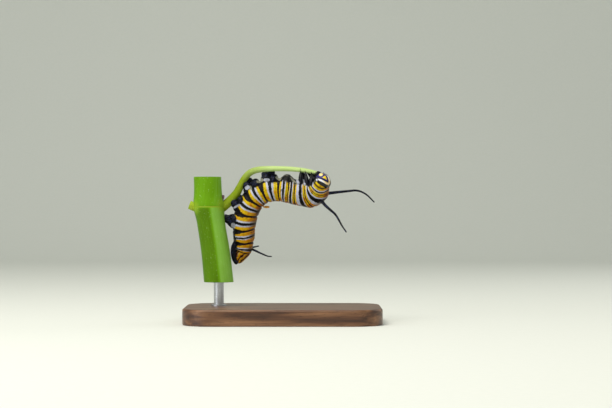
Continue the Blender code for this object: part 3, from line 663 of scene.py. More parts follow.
class Trunk:
    """Where the larva's trunk runs, and how thick it is there."""

    SAMPLES = 700

    def __init__(self):
        self.names, places, halves, ends = zip(*SEGMENTS)
        self.path = Path([TAIL_END, *places, NECK])
        self.bands = self.path.knots[1:-1]
        self.halves = np.array([halves[0] * TAIL_CLOSING, *halves, NECK_HALF])
        self.edges = np.array([0.0, *(self.bands + ends * (self.path.knots[2:] - self.bands))])
        self.roll_places = [self.bands[self.names.index(name)] for name in ROLL_SEGMENTS]
        self.s = np.linspace(0.0, self.path.length, self.SAMPLES)
        frames = [self.frame(s) for s in self.s]
        self.middle, self.forward, self.back, self.left = (
            np.array([f[i] for f in frames]) for i in range(4)
        )

    def frame(self, s):
        forward = self.path.way(s, reach=0.8)
        down = unit(np.cross(Y_AXIS, forward))
        away = np.cross(forward, down)
        turn = math.radians(np.interp(s, self.roll_places, ROLLS_DEG))
        back = math.cos(turn) * down + math.sin(turn) * away
        return self.path.at(s), forward, back, np.cross(back, forward)

    def half(self, s):
        s = np.asarray(s, float)
        tail = self.edges[1]
        plain = np.interp(s, self.path.knots, self.halves)
        closing = 1 - (1 - np.clip(s / tail, 0, 1)) ** TAIL_BLUNTNESS
        rounding = np.sqrt(np.maximum(closing, TAIL_ROUNDING))
        return plain * np.where(s < tail, rounding, 1.0)

    def place(self, points):
        """For each point: its length along the trunk, its angle from the back, left positive, and
        its distance from the middle line."""
        lengths = np.zeros(len(points))
        angles = np.zeros(len(points))
        reaches = np.zeros(len(points))
        for low in range(0, len(points), CHUNK):
            part = points[low : low + CHUNK]
            gaps = ((part[:, None, :] - self.middle[None, :, :]) ** 2).sum(2)
            near = gaps.argmin(1)
            away = part - self.middle[near]
            up = (away * self.back[near]).sum(1)
            side = (away * self.left[near]).sum(1)
            along = (away * self.forward[near]).sum(1)
            lengths[low : low + CHUNK] = self.s[near] + along
            angles[low : low + CHUNK] = np.degrees(np.arctan2(side, up))
            reaches[low : low + CHUNK] = np.hypot(up, side)
        return np.clip(lengths, 0.0, self.path.length), angles, reaches

    def surface(self, s, from_back_deg, depth=0.0):
        middle, _, back, left = self.frame(s)
        turn = math.radians(from_back_deg)
        way = math.cos(turn) * back + math.sin(turn) * left
        return middle + (float(self.half(s)) - depth) * way, way

    def share(self, s):
        """Each length's segment number, counted from the tail, and its share of that segment."""
        s = np.clip(s, 0.0, self.path.length)
        number = np.clip(np.searchsorted(self.edges, s, side="right") - 1, 0, len(self.names) - 1)
        low, high = self.edges[number], self.edges[number + 1]
        return number, np.clip((s - low) / (high - low), 0.0, 1.0)

    def profile(self, s, angle_deg):
        """The radius of the smooth trunk: soft flank ridge, flatter belly, folds between segments."""
        number, t = self.share(leaned(s, angle_deg))
        turn = np.radians(angle_deg)
        from_back = np.abs(angle_deg)
        ridge = bump(from_back, PLEURAL_DEG, PLEURAL_WIDTH_DEG) * (0.6 + 0.6 * bump(t, 0.5, 0.3))
        belly = (0.5 - 0.5 * np.cos(turn)) ** 3
        bend = smooth(s, self.bands[4], self.bands[5]) * (1 - smooth(s, self.bands[6], self.bands[7]))
        pinch = 1 + 0.9 * bend * smooth(np.cos(turn), 0.2, 0.9)
        rear = np.where(number > 0, bump(t, 0.0, 0.07), 0.0)
        front = np.where(number < len(self.names) - 1, bump(t, 1.0, 0.07), 0.0)
        fold = 1 - FOLD_DEPTH * pinch * (rear + front)
        nape = NAPE_DEPTH * smooth(s, self.bands[-1] + 0.3, self.path.length - 0.8)
        nape = nape * smooth(np.cos(turn), 0.1, 0.9)
        round_part = self.half(s) * fold * (1 + PLEURAL_RISE * ridge - BELLY_FLAT * belly)
        hump = HUMP_HEIGHT * bump(s, self.bands[-2] - 0.4, 1.2) * smooth(np.cos(turn), 0.4, 1.0)
        return round_part + self.lump(s, from_back) + hump - nape

    def lump(self, s, from_back):
        """How far the swelling of the belly stands out."""
        along = (s - self.edges[self.names.index(LUMP_AT)] + LUMP_BACKSET) / LUMP_LENGTH
        around = (180 - from_back) / LUMP_WIDTH_DEG
        return LUMP_HEIGHT * np.exp(-np.abs(along) ** 3 - around**2)


class Perch:
    """The lines of the cut stem and the leaf stalk."""

    def __init__(self):
        self.stem = Path(STEM_PATH)
        self.stalk = Path(STALK_PATH)

    def stem_radius(self, s):
        height = self.stem.at(s)[2]
        swell = math.exp(-(((height - JOINT_HEIGHT) / JOINT_SWELL_LENGTH) ** 2))
        return np.interp(height, STEM_HEIGHTS, STEM_RADII) + JOINT_SWELL * swell

    def stalk_radius(self, s):
        return np.interp(s, self.stalk.knots, STALK_RADII)

    def grip(self, point, side, hug, spare):
        """A point just off the nearer of stem and stalk, drawn round to this side of it by hug."""
        choices = []
        for line, radius_at in ((self.stem, self.stem_radius), (self.stalk, self.stalk_radius)):
            s = line.nearest(point)
            reach = np.linalg.norm(line.at(s) - point) - radius_at(s)
            choices.append((reach, line, s, radius_at(s)))
        _, line, s, radius = min(choices, key=lambda choice: choice[0])
        centre, way = line.at(s), line.way(s)
        out = unit(point - centre) + (hug if line is self.stalk else 0.0) * side
        out = unit(out - way * np.dot(out, way))
        return centre + (radius + spare) * out, out

    def push_clear(self, points, clear):
        """Moves points that are inside the stem or the stalk out to just off their surface."""
        points = points.copy()
        for line, radius_at in ((self.stem, self.stem_radius), (self.stalk, self.stalk_radius)):
            samples = np.linspace(0.0, line.length, 240)
            middles = np.array([line.at(s) for s in samples])
            reach = np.array([radius_at(s) for s in samples]) + clear
            for low in range(0, len(points), CHUNK):
                part = points[low : low + CHUNK]
                gaps = ((part[:, None, :] - middles[None]) ** 2).sum(2)
                near = gaps.argmin(1)
                away = part - middles[near]
                distance = np.linalg.norm(away, axis=1)
                inside = distance < reach[near]
                scale = np.where(inside, reach[near] / np.maximum(distance, 1e-6), 1.0)
                points[low : low + CHUNK] = middles[near] + away * scale[:, None]
        return points


trunk = Trunk()
perch = Perch()


def proleg_lines():
    """Every proleg: its segment's number, 1 for left or -1 for right, its root, its sole, the way
    out of the perch there, and the trunk's ways ahead and to the left."""
    made = []
    for number in PROLEG_SEGMENTS:
        band = trunk.bands[trunk.names.index(f"abdomen_{number}")]
        for mirror in (1, -1):
            s = band - PROLEG_BACKSETS[number] + (PROLEG_STAGGER if mirror < 0 else 0.0)
            root, way = trunk.surface(s, mirror * (180 - PROLEG_SPREAD_DEG), depth=0.7)
            _, forward, _, left = trunk.frame(s)
            wanted, hug = root + 0.7 * way, PROLEG_HUG
            if mirror > 0:
                wanted, hug = wanted + SOLE_SHIFTS[number], LEFT_HUGS[number]
            sole, out = perch.grip(wanted, mirror * left, hug, SOLE_SPARE)
            made.append((number, mirror, root, sole, out, forward, left))
    return made


def anal_lines():
    """The lines along the two tail prolegs, left and right."""
    left = np.array(ANAL_PATH)
    right = left * (1, -1, 1) + (0, 2 * ANAL_MIDDLE_Y, 0)
    return Path(left), Path(right)


def skin_shell():
    """The trunk, prolegs and filaments as closed shells in one object, before they are fused."""
    shells = Builder()
    turns = (np.arange(TRUNK_SIDES) + 0.5) * 360 / TRUNK_SIDES
    stops = np.concatenate(((0.03, 0.08, 0.16), np.linspace(0.26, trunk.path.length, TRUNK_RINGS)))
    angle = np.where(turns > 180, turns - 360, turns)
    rings = []
    for s in stops:
        middle, _, back, left = trunk.frame(s)
        radius = trunk.profile(np.full(TRUNK_SIDES, s), angle)[:, None]
        turn = np.radians(turns)[:, None]
        rings.append(middle + radius * (np.cos(turn) * back + np.sin(turn) * left))
    shells.rings(rings)
    for number, mirror, root, sole, out, forward, left in proleg_lines():
        way = unit(sole - root)
        belly = 0.5 * (root + sole) + 0.12 * mirror * left
        wide = unit(forward - way * np.dot(forward, way))
        shells.tube((root, belly, sole + 0.12 * way), PROLEG_RADII, 28, 30, PROLEG_FLAT, wide)
        i = trunk.names.index(f"abdomen_{number}")
        angle = mirror * (180 - LOBE_SPREAD_DEG)
        lobe, lobe_way = trunk.surface(trunk.bands[i] + LOBE_FORWARD, angle, LOBE_SUNK)
        ways = (lobe_way, forward, np.cross(lobe_way, forward))
        shells.ball(lobe, (LOBE_RADIUS,) * 3, ways, 18, 28)
    for _, root, knee, _, _, forward, _ in leg_lines():
        coxa = root + 0.25 * unit(knee - root) - COXA_BEHIND * forward
        shells.ball(coxa, (COXA_RADIUS,) * 3, np.eye(3), 14, 20)
    for line in anal_lines():
        shells.tube([line.at(s) for s in line.knots], ANAL_RADII, 28, 40)
    for (root_radius, tip_radius), *points in FILAMENTS:
        path = Path(points)
        shares = np.linspace(0, 1, 16)
        radii = root_radius + (tip_radius - root_radius) * shares**0.8
        radii = radii + FILAMENT_FLARE * np.exp(-shares / 0.06) * (root_radius / FILAMENT_THICKEST)
        shells.tube(points, list(radii), 20, int(path.length / 0.12))
    shells.ball(np.array(FOLD_AT), FOLD_HALVES, np.eye(3), 14, 20)
    obj = mesh_object("skin", shells.points, shells.faces)
    close_normals(obj)
    return obj


def fuse(obj, voxel_mm, rounds):
    """Makes one closed surface of all the shells, and softens it."""
    remesh = obj.modifiers.new("Fuse", "REMESH")
    remesh.mode = "VOXEL"
    remesh.voxel_size = voxel_mm * MM
    remesh.adaptivity = 0.0
    relax = obj.modifiers.new("Relax", "SMOOTH")
    relax.factor = 0.5
    relax.iterations = rounds
    apply_modifiers(obj)


def band_edges(number):
    """The edges of one segment's bands as shares of its length: at mid flank, and by the belly. The
    middle of the black band is the segment's own place on the trunk's line."""
    widths = np.array(BAND_WIDTHS[number])
    low = widths.copy()
    low[[0, -1]] *= DARK_WEDGE[number]
    spare = low.sum() - widths.sum()
    yellow = low[[1, 5]].sum()
    low[[1, 5]] *= max(1 - spare / yellow, 0.12)
    start, end = trunk.edges[number : number + 2]
    middle = (trunk.bands[number] - start) / (end - start)
    made = []
    for run in (widths, low):
        rear = np.cumsum((*run[:3], 0.5 * run[3]))
        front = np.cumsum((0.5 * run[3], *run[4:]))
        rear, front = middle * rear / rear[-1], middle + (1 - middle) * front / front[-1]
        made.append(np.array((0.0, *rear[:3], *front)))
    return made


def leaned(s, angle):
    """Lengths along the trunk as the bands see them, since no band lies in a flat ring."""
    from_back = np.abs(angle)
    belly, flank, back = (np.interp(s, trunk.bands, lead) for lead in zip(*BAND_LEADS))
    to_back = 1 - smooth(from_back, 15.0, 105.0)
    to_belly = smooth(from_back, 105.0, 180.0)
    return s - flank - (back - flank) * to_back - (belly - flank) * to_belly


def band_coordinate(s, angle):
    """Segment number plus the place in its run of bands, even for each band, for each point."""
    number, t = trunk.share(s)
    made = np.zeros(len(s))
    wedge = smooth(np.abs(angle), 85.0, 150.0)
    cells = np.linspace(0.0, 1.0, BAND_CELLS + 1)
    for i in range(len(trunk.names)):
        chosen = np.nonzero(number == i)[0]
        flank, belly = band_edges(i)
        at_flank = np.interp(t[chosen], flank, cells)
        at_belly = np.interp(t[chosen], belly, cells)
        made[chosen] = i + at_flank + (at_belly - at_flank) * wedge[chosen]
    return made


def brown_lines(band):
    """How strongly the thin brown line shows at each point."""
    number = np.clip(np.floor(band).astype(int), 0, len(BAND_LINES) - 1)
    places, strengths, widths = (np.array(values)[number] for values in zip(*BAND_LINES))
    within = (band - number) * BAND_CELLS - 5.0
    return strengths * bump(within, places, widths)


def skin():
    """The whole soft skin: one closed surface with its folds, and the values that its pattern needs."""
    obj = skin_shell()
    fuse(obj, SKIN_VOXEL, 4)
    points = coordinates(obj)
    s, angle, reach = trunk.place(points)
    from_back = np.abs(angle)
    out = reach - trunk.profile(s, angle)
    limb = smooth(out, 0.02, 0.3)
    soften(obj, bump(out, 0.12, 0.3), 10)
    points, way = coordinates(obj), normals(obj)
    banded = leaned(s, angle)
    groove = soft_rings(banded) * (0.8 + 0.5 * noise_at(points, 1.6, 3.0))
    lumps = 0.018 * noise_at(points, 0.34, 11.0) + 0.03 * noise_at(points, 0.9, 23.0)
    crease = -0.05 * np.exp(-((noise_at(points, 1.15, 41.0) / 0.07) ** 2))
    belly = smooth(from_back, 95.0, 140.0)
    dorsal = smooth(np.cos(np.radians(angle)), 0.3, 0.95)
    flank = 1 - limb
    amount = flank * (lumps - groove + crease * (0.25 + 0.9 * belly + 0.5 * dorsal))
    pits = limb * 0.02 * noise_at(points, 0.16, 5.0)
    points = points + way * (amount + pits)[:, None]
    points = perch.push_clear(points, CLEAR)
    set_coordinates(obj, points)
    pinched = np.linalg.norm((points - FOLD_AT) / FOLD_HALVES, axis=1)
    band = band_coordinate(banded, angle)
    in_white = np.abs(np.abs(band % 1 * BAND_CELLS - 3.5) - 1.0) < 0.5
    belly_from = np.interp(
        s, trunk.bands[[3, 4, 5, 6, 7, 11]], (138.0, 168.0, 165.0, 154.0, 142.0, 140.0)
    )
    belly_from = belly_from + np.interp(s, trunk.bands[[5, 7, 9, 10]], (0.0, 10.0, 0.0, 60.0)) * in_white
    values = {
        "band": band,
        "line": brown_lines(band),
        "turn": from_back / 180,
        "back": painted_back_shade(s, from_back),
        "belly": (from_back - belly_from) / 180,
        "limb": limb * smooth(pinched, 1.2, 1.6),
        "fold": 1 - smooth(pinched, 1.2, 1.6),
        "patch": patches(points, angle, WHITE_PATCHES),
        "olive": patches(points, angle, OLIVE_PATCHES),
        "tail": 1 - smooth(s, trunk.edges[2] - 0.35, trunk.edges[2] + 0.15),
        "length": s,
        "groove": groove * flank,
    }
    for name, value in values.items():
        set_attribute(obj, name, value)
    obj.data.materials.append(banded_skin())
    obj.data.shade_smooth()
    return obj


def soften(obj, weight, rounds):
    """Smooths the surface only where the weight is high."""
    group = obj.vertex_groups.new(name="soften")
    for i in np.nonzero(weight > 0.05)[0].tolist():
        group.add((i,), float(weight[i]), "REPLACE")
    relax = obj.modifiers.new("Soften", "SMOOTH")
    relax.vertex_group = "soften"
    relax.factor = 0.5
    relax.iterations = rounds
    apply_modifiers(obj)


def soft_rings(s):
    """Depth of the shallow grooves round the trunk, which lie where the colours change."""
    number, t = trunk.share(s)
    made = np.zeros(len(s))
    for i in range(len(trunk.names)):
        chosen = np.nonzero(number == i)[0]
        edges = band_edges(i)[0]
        length = trunk.edges[i + 1] - trunk.edges[i]
        for depth, place in (
            (0.05, edges[2]),
            (0.025, 0.5 * (edges[3] + edges[4])),
            (0.05, edges[5]),
            (0.03, 0.5 * (edges[5] + edges[6])),
        ):
            made[chosen] += depth * bump((t[chosen] - place) * length, 0.0, 0.11)
    return made


def painted_back_shade(s, from_back):
    """How much painted shade, dark and brown, the bands take towards the back, which faces away from the
    light: early by the tail, later near the head.
    """
    along = smooth(s, trunk.bands[5], trunk.bands[7])
    low, high = 38.0 - 16.0 * along, 82.0 - 28.0 * along
    return (1 - smooth(from_back, low, high)) * (1 - 0.25 * along)


def patches(points, angle, kinds):
    """Patches low on both flanks, each an oval in the side view."""
    made = np.zeros(len(points))
    for x, z, tilt_deg, half_length, half_width in kinds:
        along, up = math.cos(math.radians(tilt_deg)), math.sin(math.radians(tilt_deg))
        ahead, above = points[:, 0] - x, points[:, 2] - z
        length = np.abs(ahead * along + above * up) / half_length
        width = np.abs(above * along - ahead * up) / half_width
        far = (length**3 + width**3) ** (1 / 3)
        made = np.maximum(made, smooth(1.25 - far, 0.0, 0.5))
    return made * smooth(np.abs(angle), 95.0, 120.0)


def bands(tree, place, dark, yellow, white, black):
    """Lays these colours on a segment's bands, in their order, with a crisp edge between two."""
    colours = (dark, yellow, white, black, white, yellow, dark)
    edge = 0.011
    stops = [(0.0, colours[0])]
    for k in range(1, BAND_CELLS):
        stops += [(k / BAND_CELLS - edge, colours[k - 1]), (k / BAND_CELLS + edge, colours[k])]
    return ramp(tree, place, stops)


def banded_skin():
    """Living larval cuticle: soft, thin and slightly waxy, so colours glow a little and gloss is low.
    Pigment lies in rings of yellow, white and black that break up a little along their edges."""
    material, tree, shader = new_material("larval_skin", 0.42, ior=1.45, specular=0.14)
    back, turn = attribute(tree, "back"), attribute(tree, "turn")
    band, length = attribute(tree, "band"), attribute(tree, "length")
    ragged = object_noise(tree, 0.35, 4.0)
    soft = object_noise(tree, 1.1, 3.0)
    shifted = maths(tree, "MULTIPLY_ADD", ragged, 0.085, maths(tree, "SUBTRACT", band, 0.0625))
    shifted = maths(tree, "MULTIPLY_ADD", soft, 0.04, shifted)
    place = maths(tree, "FRACT", shifted)
    # The bands' own colours, with a darker, browner copy painted towards the back as shade
    flank = bands(tree, place, "#100A0D", "#C9AE06", "#B0B2C4", "#040406")
    brown = bands(tree, place, "#220E05", "#8A5206", "#74603C", "#0A0604")
    colour = mix(tree, back, flank, brown)
    # Orange blotches in the yellow, more of them towards the back, where they are painted darker as
    # shade
    is_yellow = bands(tree, place, "#000000", "#FFFFFF", "#000000", "#000000")
    blotch = maths(tree, "MULTIPLY_ADD", spread(tree, turn, 0.62, 0.12), 0.3, soft)
    blotch = maths(tree, "MULTIPLY", spread(tree, blotch, 0.54, 0.78), is_yellow)
    colour = mix(tree, blotch, colour, mix(tree, back, "#BF7406", "#84430A"))
    flecks = spread(tree, object_noise(tree, 0.42, 2.0), 0.54, 0.66)
    flecks = maths(tree, "MULTIPLY", flecks, is_yellow)
    colour = mix(tree, maths(tree, "MULTIPLY", flecks, 0.6), colour, "#7A4206")
    # The yellow is deeper from the bend to the tail
    rear = spread(tree, length, trunk.bands[6], trunk.bands[3], 0.0, 0.7)
    rear = maths(tree, "MULTIPLY", rear, is_yellow)
    colour = mix(tree, rear, colour, mix(tree, soft, "#BE8C06", "#B87204"))
    # Painted shade: dark blotches that run together along the back at the bend, which lies away from the
    # light
    bend = spread(tree, length, trunk.bands[6] - 0.8, trunk.bands[5] + 0.8)
    behind = spread(tree, length, trunk.bands[5] - 2.6, trunk.bands[5] - 1.6)
    bend = maths(tree, "MULTIPLY", bend, behind)
    painted_shade_blots = spread(tree, maths(tree, "MULTIPLY_ADD", back, 0.6, soft), 0.92, 1.06, 0.0, 0.85)
    colour = mix(tree, maths(tree, "MULTIPLY", painted_shade_blots, bend), colour, "#241405")
    # Fine brown lines that run together along the back
    lines = maths(tree, "MULTIPLY_ADD", band, 54.0, maths(tree, "MULTIPLY", soft, 7.0))
    lines = maths(tree, "MULTIPLY", spread(tree, maths(tree, "SINE", lines), 0.0, 0.9), back)
    colour = mix(tree, maths(tree, "MULTIPLY", lines, 0.75), colour, "#3A1A05")
    thin = spread(tree, attribute(tree, "line"), 0.2, 0.85, 0.0, 0.92)
    colour = mix(tree, thin, colour, mix(tree, soft, "#1A0804", "#4E2206"))
    # Painted shade darkens the grooves
    groove = spread(tree, attribute(tree, "groove"), 0.015, 0.09, 0.0, 0.5)
    colour = mix(tree, groove, colour, "#9A7B50", "MULTIPLY")
    # Dark streaks fan out over the yellow plate at the tail
    fan = maths(tree, "MULTIPLY_ADD", turn, 4.0, maths(tree, "MULTIPLY", length, 0.25))
    fan = maths(tree, "FRACT", maths(tree, "MULTIPLY_ADD", soft, 1.1, fan))
    streaks = (
        (0.0, "#1A0B06"),
        (0.2, "#1A0B06"),
        (0.3, "#BE7E06"),
        (0.66, "#CC9A08"),
        (0.76, "#A89A74"),
        (0.86, "#6E3206"),
    )
    colour = mix(tree, attribute(tree, "tail"), colour, ramp(tree, fan, streaks))
    # Black belly with grey marbling, with a torn edge towards the flank
    ripple = maths(tree, "MULTIPLY_ADD", soft, 0.16, attribute(tree, "belly"))
    marbling = ((0.0, "#060609"), (0.56, "#08080D"), (0.64, "#4E4E46"), (1.0, "#85846E"))
    colour = mix(tree, spread(tree, ripple, 0.06, 0.1), colour, ramp(tree, soft, marbling))
    # Black prolegs, with painted lilac sheen patches standing in for reflections on their shiny plates
    limbs_painted_sheen = ramp(tree, ragged, ((0.3, "#040408"), (0.53, "#07080F"), (0.64, "#272C4E")))
    colour = mix(tree, attribute(tree, "limb"), colour, limbs_painted_sheen)
    colour = mix(tree, attribute(tree, "fold"), colour, mix(tree, ragged, "#DA9C16", "#A05E08"))
    for patch, tint in (("olive", "#8F8D6C"), ("patch", "#B9BCCE")):
        torn = maths(tree, "MULTIPLY_ADD", ragged, 0.9, attribute(tree, patch))
        colour = mix(tree, spread(tree, torn, 0.8, 1.05), colour, mix(tree, soft, tint, "#6E6F72"))
    tree.links.new(colour, shader.inputs["Base Color"])
    tree.links.new(spread(tree, ragged, 0.0, 1.0, 0.34, 0.52), shader.inputs["Roughness"])
    glow(shader, 0.12, (1.0, 0.6, 0.3), 0.25)
    add_bump(tree, shader, object_noise(tree, 0.09, 2.0), 0.02, 0.6)
    return material


def head_ways():
    crown = unit(CROWN_WAY)
    face = unit(np.array(FACE_WAY) - crown * np.dot(FACE_WAY, crown))
    return face, crown, np.cross(crown, face)


def head_point(out_deg, down_deg, grow=0.0):
    """A point on the capsule, out to the left of the face's middle and down towards the mouth."""
    face, crown, left = head_ways()
    out, down = math.radians(out_deg), math.radians(down_deg)
    way = (
        math.cos(out) * math.cos(down) * face
        + math.sin(out) * left
        - math.cos(out) * math.sin(down) * crown
    )
    parts = [np.dot(way, axis) / half for axis, half in zip((face, left, crown), HEAD_HALVES)]
    return HEAD + way / np.linalg.norm(parts) + grow * way, way


def head_capsule():
    """The horny head: two lobes parted by a suture, a sunk frontal plate, fine pits."""
    face, crown, left = head_ways()
    rings, sides = 130, 180
    points = []
    turns = 2 * math.pi * np.arange(sides) / sides
    up, across = np.cos(turns), np.sin(turns)
    notch = 0.09 * np.exp(-((across / 0.35) ** 2)) * np.maximum(up, 0.0)
    narrow = 1 - 0.22 * np.maximum(-up, 0.0) ** 2
    for step in range(rings):
        polar = math.pi * (step + 0.5) / rings
        points.append(
            HEAD
            + HEAD_HALVES[0] * math.cos(polar) * (1 if math.cos(polar) > 0 else HEAD_REAR) * face
            + (HEAD_HALVES[2] * math.sin(polar) * up * (1 - notch))[:, None] * crown
            + (HEAD_HALVES[1] * math.sin(polar) * across * narrow)[:, None] * left
        )
    points = np.array(points).reshape(-1, 3)
    obj = mesh_object("head_capsule_shell", points, grid_faces(rings, sides))
    close_normals(obj)
    local = points - HEAD
    across, up, front = (
        local @ way / half for way, half in zip((left, crown, face), np.array(HEAD_HALVES)[[1, 2, 0]])
    )
    across = np.abs(across)
    facing = smooth(front, 0.0, 0.3)
    plate = np.maximum(up + PLATE_SLOPE * across - PLATE_TOP, PLATE_FOOT - up)
    arch = up + ARCH_SLOPE * across + ARCH_CURVE * across**2 - ARCH_TOP
    arch = arch / np.hypot(1.0, ARCH_SLOPE + 2 * ARCH_CURVE * across)
    shield = np.hypot(across / 0.3, (up + 0.67) / 0.18)
    suture = -0.06 * bump(across, 0.0, 0.035) * smooth(up, 0.28, 0.42) * smooth(front, -0.5, 0.0)
    edges = -0.035 * bump(plate, 0.0, 0.035) * facing - 0.04 * bump(shield, 1.15, 0.12) * facing
    seams = -0.03 * bump(arch, -0.15, 0.03) * facing
    pits = -0.012 * smooth(noise_at(points, 0.11, 2.0), 0.25, 0.6)
    set_coordinates(obj, points + normals(obj) * (suture + edges + seams + pits)[:, None])
    values = {"across": across, "plate": plate, "arch": arch, "shield": shield, "front": front}
    for name, value in values.items():
        set_attribute(obj, name, value)
    obj.data.materials.append(head_horn())
    return obj


def head_horn():
    """Hardened black cuticle, smooth and lacquer-like, with ivory to yellow arches in the pigment."""
    material, tree, shader = new_material("polished_head_cuticle", 0.2, ior=1.56, specular=0.3)
    across, arch = attribute(tree, "across"), attribute(tree, "arch")
    wobble = object_noise(tree, 0.5, 3.0)
    uneven = maths(tree, "MULTIPLY_ADD", wobble, 0.12, -0.06)
    # Black, with a painted purple sheen round the yellow plate
    black_with_painted_sheen = ramp(tree, spread(tree, arch, -0.42, -0.14), ((0.0, "#2A2168"), (1.0, "#06060F")))
    ivory = ramp(
        tree, across, ((0.0, "#DCCDA6"), (0.25, "#E8BE78"), (0.42, "#EBD9A8"), (0.62, "#DADAE4"))
    )
    off_line = maths(tree, "ABSOLUTE", maths(tree, "MULTIPLY_ADD", uneven, 0.6, arch))
    colour = mix(tree, spread(tree, off_line, 0.125, 0.1), black_with_painted_sheen, ivory)
    plate = maths(tree, "MULTIPLY_ADD", uneven, 0.6, attribute(tree, "plate"))
    yellow = mix(tree, wobble, "#E2C80C", "#E6BE12")
    colour = mix(tree, spread(tree, plate, 0.02, -0.02), colour, yellow)
    shield = ramp(tree, wobble, ((0.4, "#DDB80E"), (0.6, "#EBDCA4")))
    colour = mix(tree, spread(tree, attribute(tree, "shield"), 1.05, 0.95), colour, shield)
    colour = mix(tree, spread(tree, attribute(tree, "front"), -0.05, -0.15), colour, "#07070D")
    tree.links.new(colour, shader.inputs["Base Color"])
    shader.inputs["Coat Weight"].default_value = 0.15
    shader.inputs["Coat Roughness"].default_value = 0.12
    add_bump(tree, shader, object_noise(tree, 0.07, 2.0), 0.012, 0.5)
    return material


def horn(name, dark, light, roughness):
    """Hardened cuticle of legs, jaws and hooks: dark, smooth and glossy, paler where it thins."""
    material, tree, shader = new_material(name, roughness, ior=1.56, specular=0.16)
    mottle(tree, shader, 0.3, 3.0, ((0.35, dark), (0.75, light)))
    add_bump(tree, shader, object_noise(tree, 0.06, 2.0), 0.012, 0.5)
    return material


def mouth_and_feelers(dark_horn, grey_horn):
    """Lip, jaws, palps and spinneret below the face, and a short feeler at each side."""
    face, crown, left = head_ways()
    mouth, way = head_point(0.0, 76.0)
    lip = Builder()
    for mirror in (1, -1):
        half = mouth + 0.1 * face + mirror * 0.16 * left
        lip.ball(half, (0.26, 0.22, 0.3), (left, face, way), 14, 20)
    lip_piece = lip.build("upper_lip", dark_horn)
    jaws = Builder()
    for mirror in (1, -1):
        root = mouth - 0.25 * face + mirror * 0.45 * left - 0.1 * way
        jaws.ball(root, (0.36, 0.42, 0.42), (left, face, way), 14, 20)
        bend = root + 0.4 * way - 0.12 * mirror * left
        tip = root + 0.62 * way - 0.34 * mirror * left
        jaws.tube((root, bend, tip), (0.34, 0.3, 0.12), 16, 12, flat=0.7)
        palp = mouth - 0.7 * face + mirror * 0.4 * left
        for k, (reach, radius) in enumerate(PALP_JOINTS):
            joint = palp + reach * way - 0.05 * k * face
            jaws.ball(joint, (radius * 1.1, radius, radius), (way, left, face), 10, 14)
    jaws.ball(mouth - 0.85 * face + 0.1 * way, (0.5, 0.5, 0.42), (way, left, face), 14, 20)
    jaws.tube((mouth - 0.8 * face + 0.4 * way, mouth - 0.8 * face + 0.75 * way), (0.12, 0.05), 10, 8)
    jaw_piece = jaws.build("jaws_and_palps", dark_horn)
    feelers, tips = [], Builder()
    for mirror, side in ((1, "left"), (-1, "right")):
        place, way_out = head_point(mirror * 38.0, 66.0)
        way_out = unit(way_out - 0.5 * crown)
        feeler = Builder()
        start = place - 0.4 * way_out
        for low, high, radii in FEELER_JOINTS:
            points = [start + reach * way_out for reach in (low, 0.5 * (low + high), high)]
            feeler.tube(points, radii, 14, 8)
        feelers.append(feeler.build("feeler_" + side, grey_horn))
        tips.tube([start + reach * way_out for reach in (0.44, 0.52, 0.6)], (0.1, 0.1, 0.07), 12, 8)
        tips.cone(start + 0.6 * way_out, start + 0.85 * way_out, 0.02)
    return lip_piece, jaw_piece, feelers, tips.build("feeler_tips", dark_horn)


def stemmata(material):
    """Six small domed eyes in a bent row on each cheek."""
    face, crown, left = head_ways()
    made = []
    for mirror, side in ((1, "left"), (-1, "right")):
        eyes = Builder()
        for out_deg, down_deg in STEMMATA_DEG:
            place, way = head_point(mirror * out_deg, down_deg, grow=-0.03)
            side_way = unit(np.cross(way, crown))
            eyes.ball(place, (STEMMA_RADIUS,) * 3, (way, side_way, np.cross(way, side_way)), 12, 18)
        made.append(eyes.build("stemmata_" + side, material))
    return made


def leg_lines():
    """Each true leg: its name, its root inside the body, its knee and its claw, the way out of the
    stalk there, and the trunk's ways ahead and to the left."""
    made = []
    for number in (1, 2, 3):
        s = trunk.bands[trunk.names.index(f"thorax_{number}")] + LEG_AHEAD[number - 1]
        _, forward, _, left = trunk.frame(s)
        for mirror, side in ((1, "left"), (-1, "right")):
            root, _ = trunk.surface(s, mirror * (180 - LEG_SPREAD_DEG), depth=0.45)
            stalk = perch.stalk
            s_grip = np.interp(LEG_GRIP_X[number - 1], stalk.samples[:, 0], stalk.lengths)
            out = unit(root - stalk.at(s_grip)) + LEG_HUG * mirror * left
            out = unit(out - stalk.way(s_grip) * np.dot(out, stalk.way(s_grip)))
            claw = stalk.at(s_grip) + (perch.stalk_radius(s_grip) + 0.16) * out
            knee = 0.5 * (root + claw) + LEG_BOW * (mirror * left + 0.4 * forward)
            made.append((f"leg_{number}_{side}", root, knee, claw, out, forward, left))
    return made


def true_legs(material):
    """Six jointed legs: horny rings that telescope into each other, and a curved claw."""
    made = []
    for name, root, knee, claw, out, _, _ in leg_lines():
        path = Path((root, knee, claw))
        leg = Builder()
        for low, high, radii in LEG_RINGS:
            points = [path.at(path.length * share) for share in np.linspace(low, high, 4)]
            leg.tube(points, radii, 20, 14)
        end, way = path.at(path.length * 0.95), path.way(path.length)
        curl, long = unit(way - 0.9 * out), LEG_CLAWS[int(name[4]) - 1]
        point = end + long * way + 0.1 * curl
        leg.tube((end, end + 0.45 * long * way, point), (0.16, 0.11, 0.02), 10, 10)
        leg.points = list(perch.push_clear(np.array(leg.points), LEG_CLEAR))
        made.append((leg.build(name + "_horn", material), name))
    return made


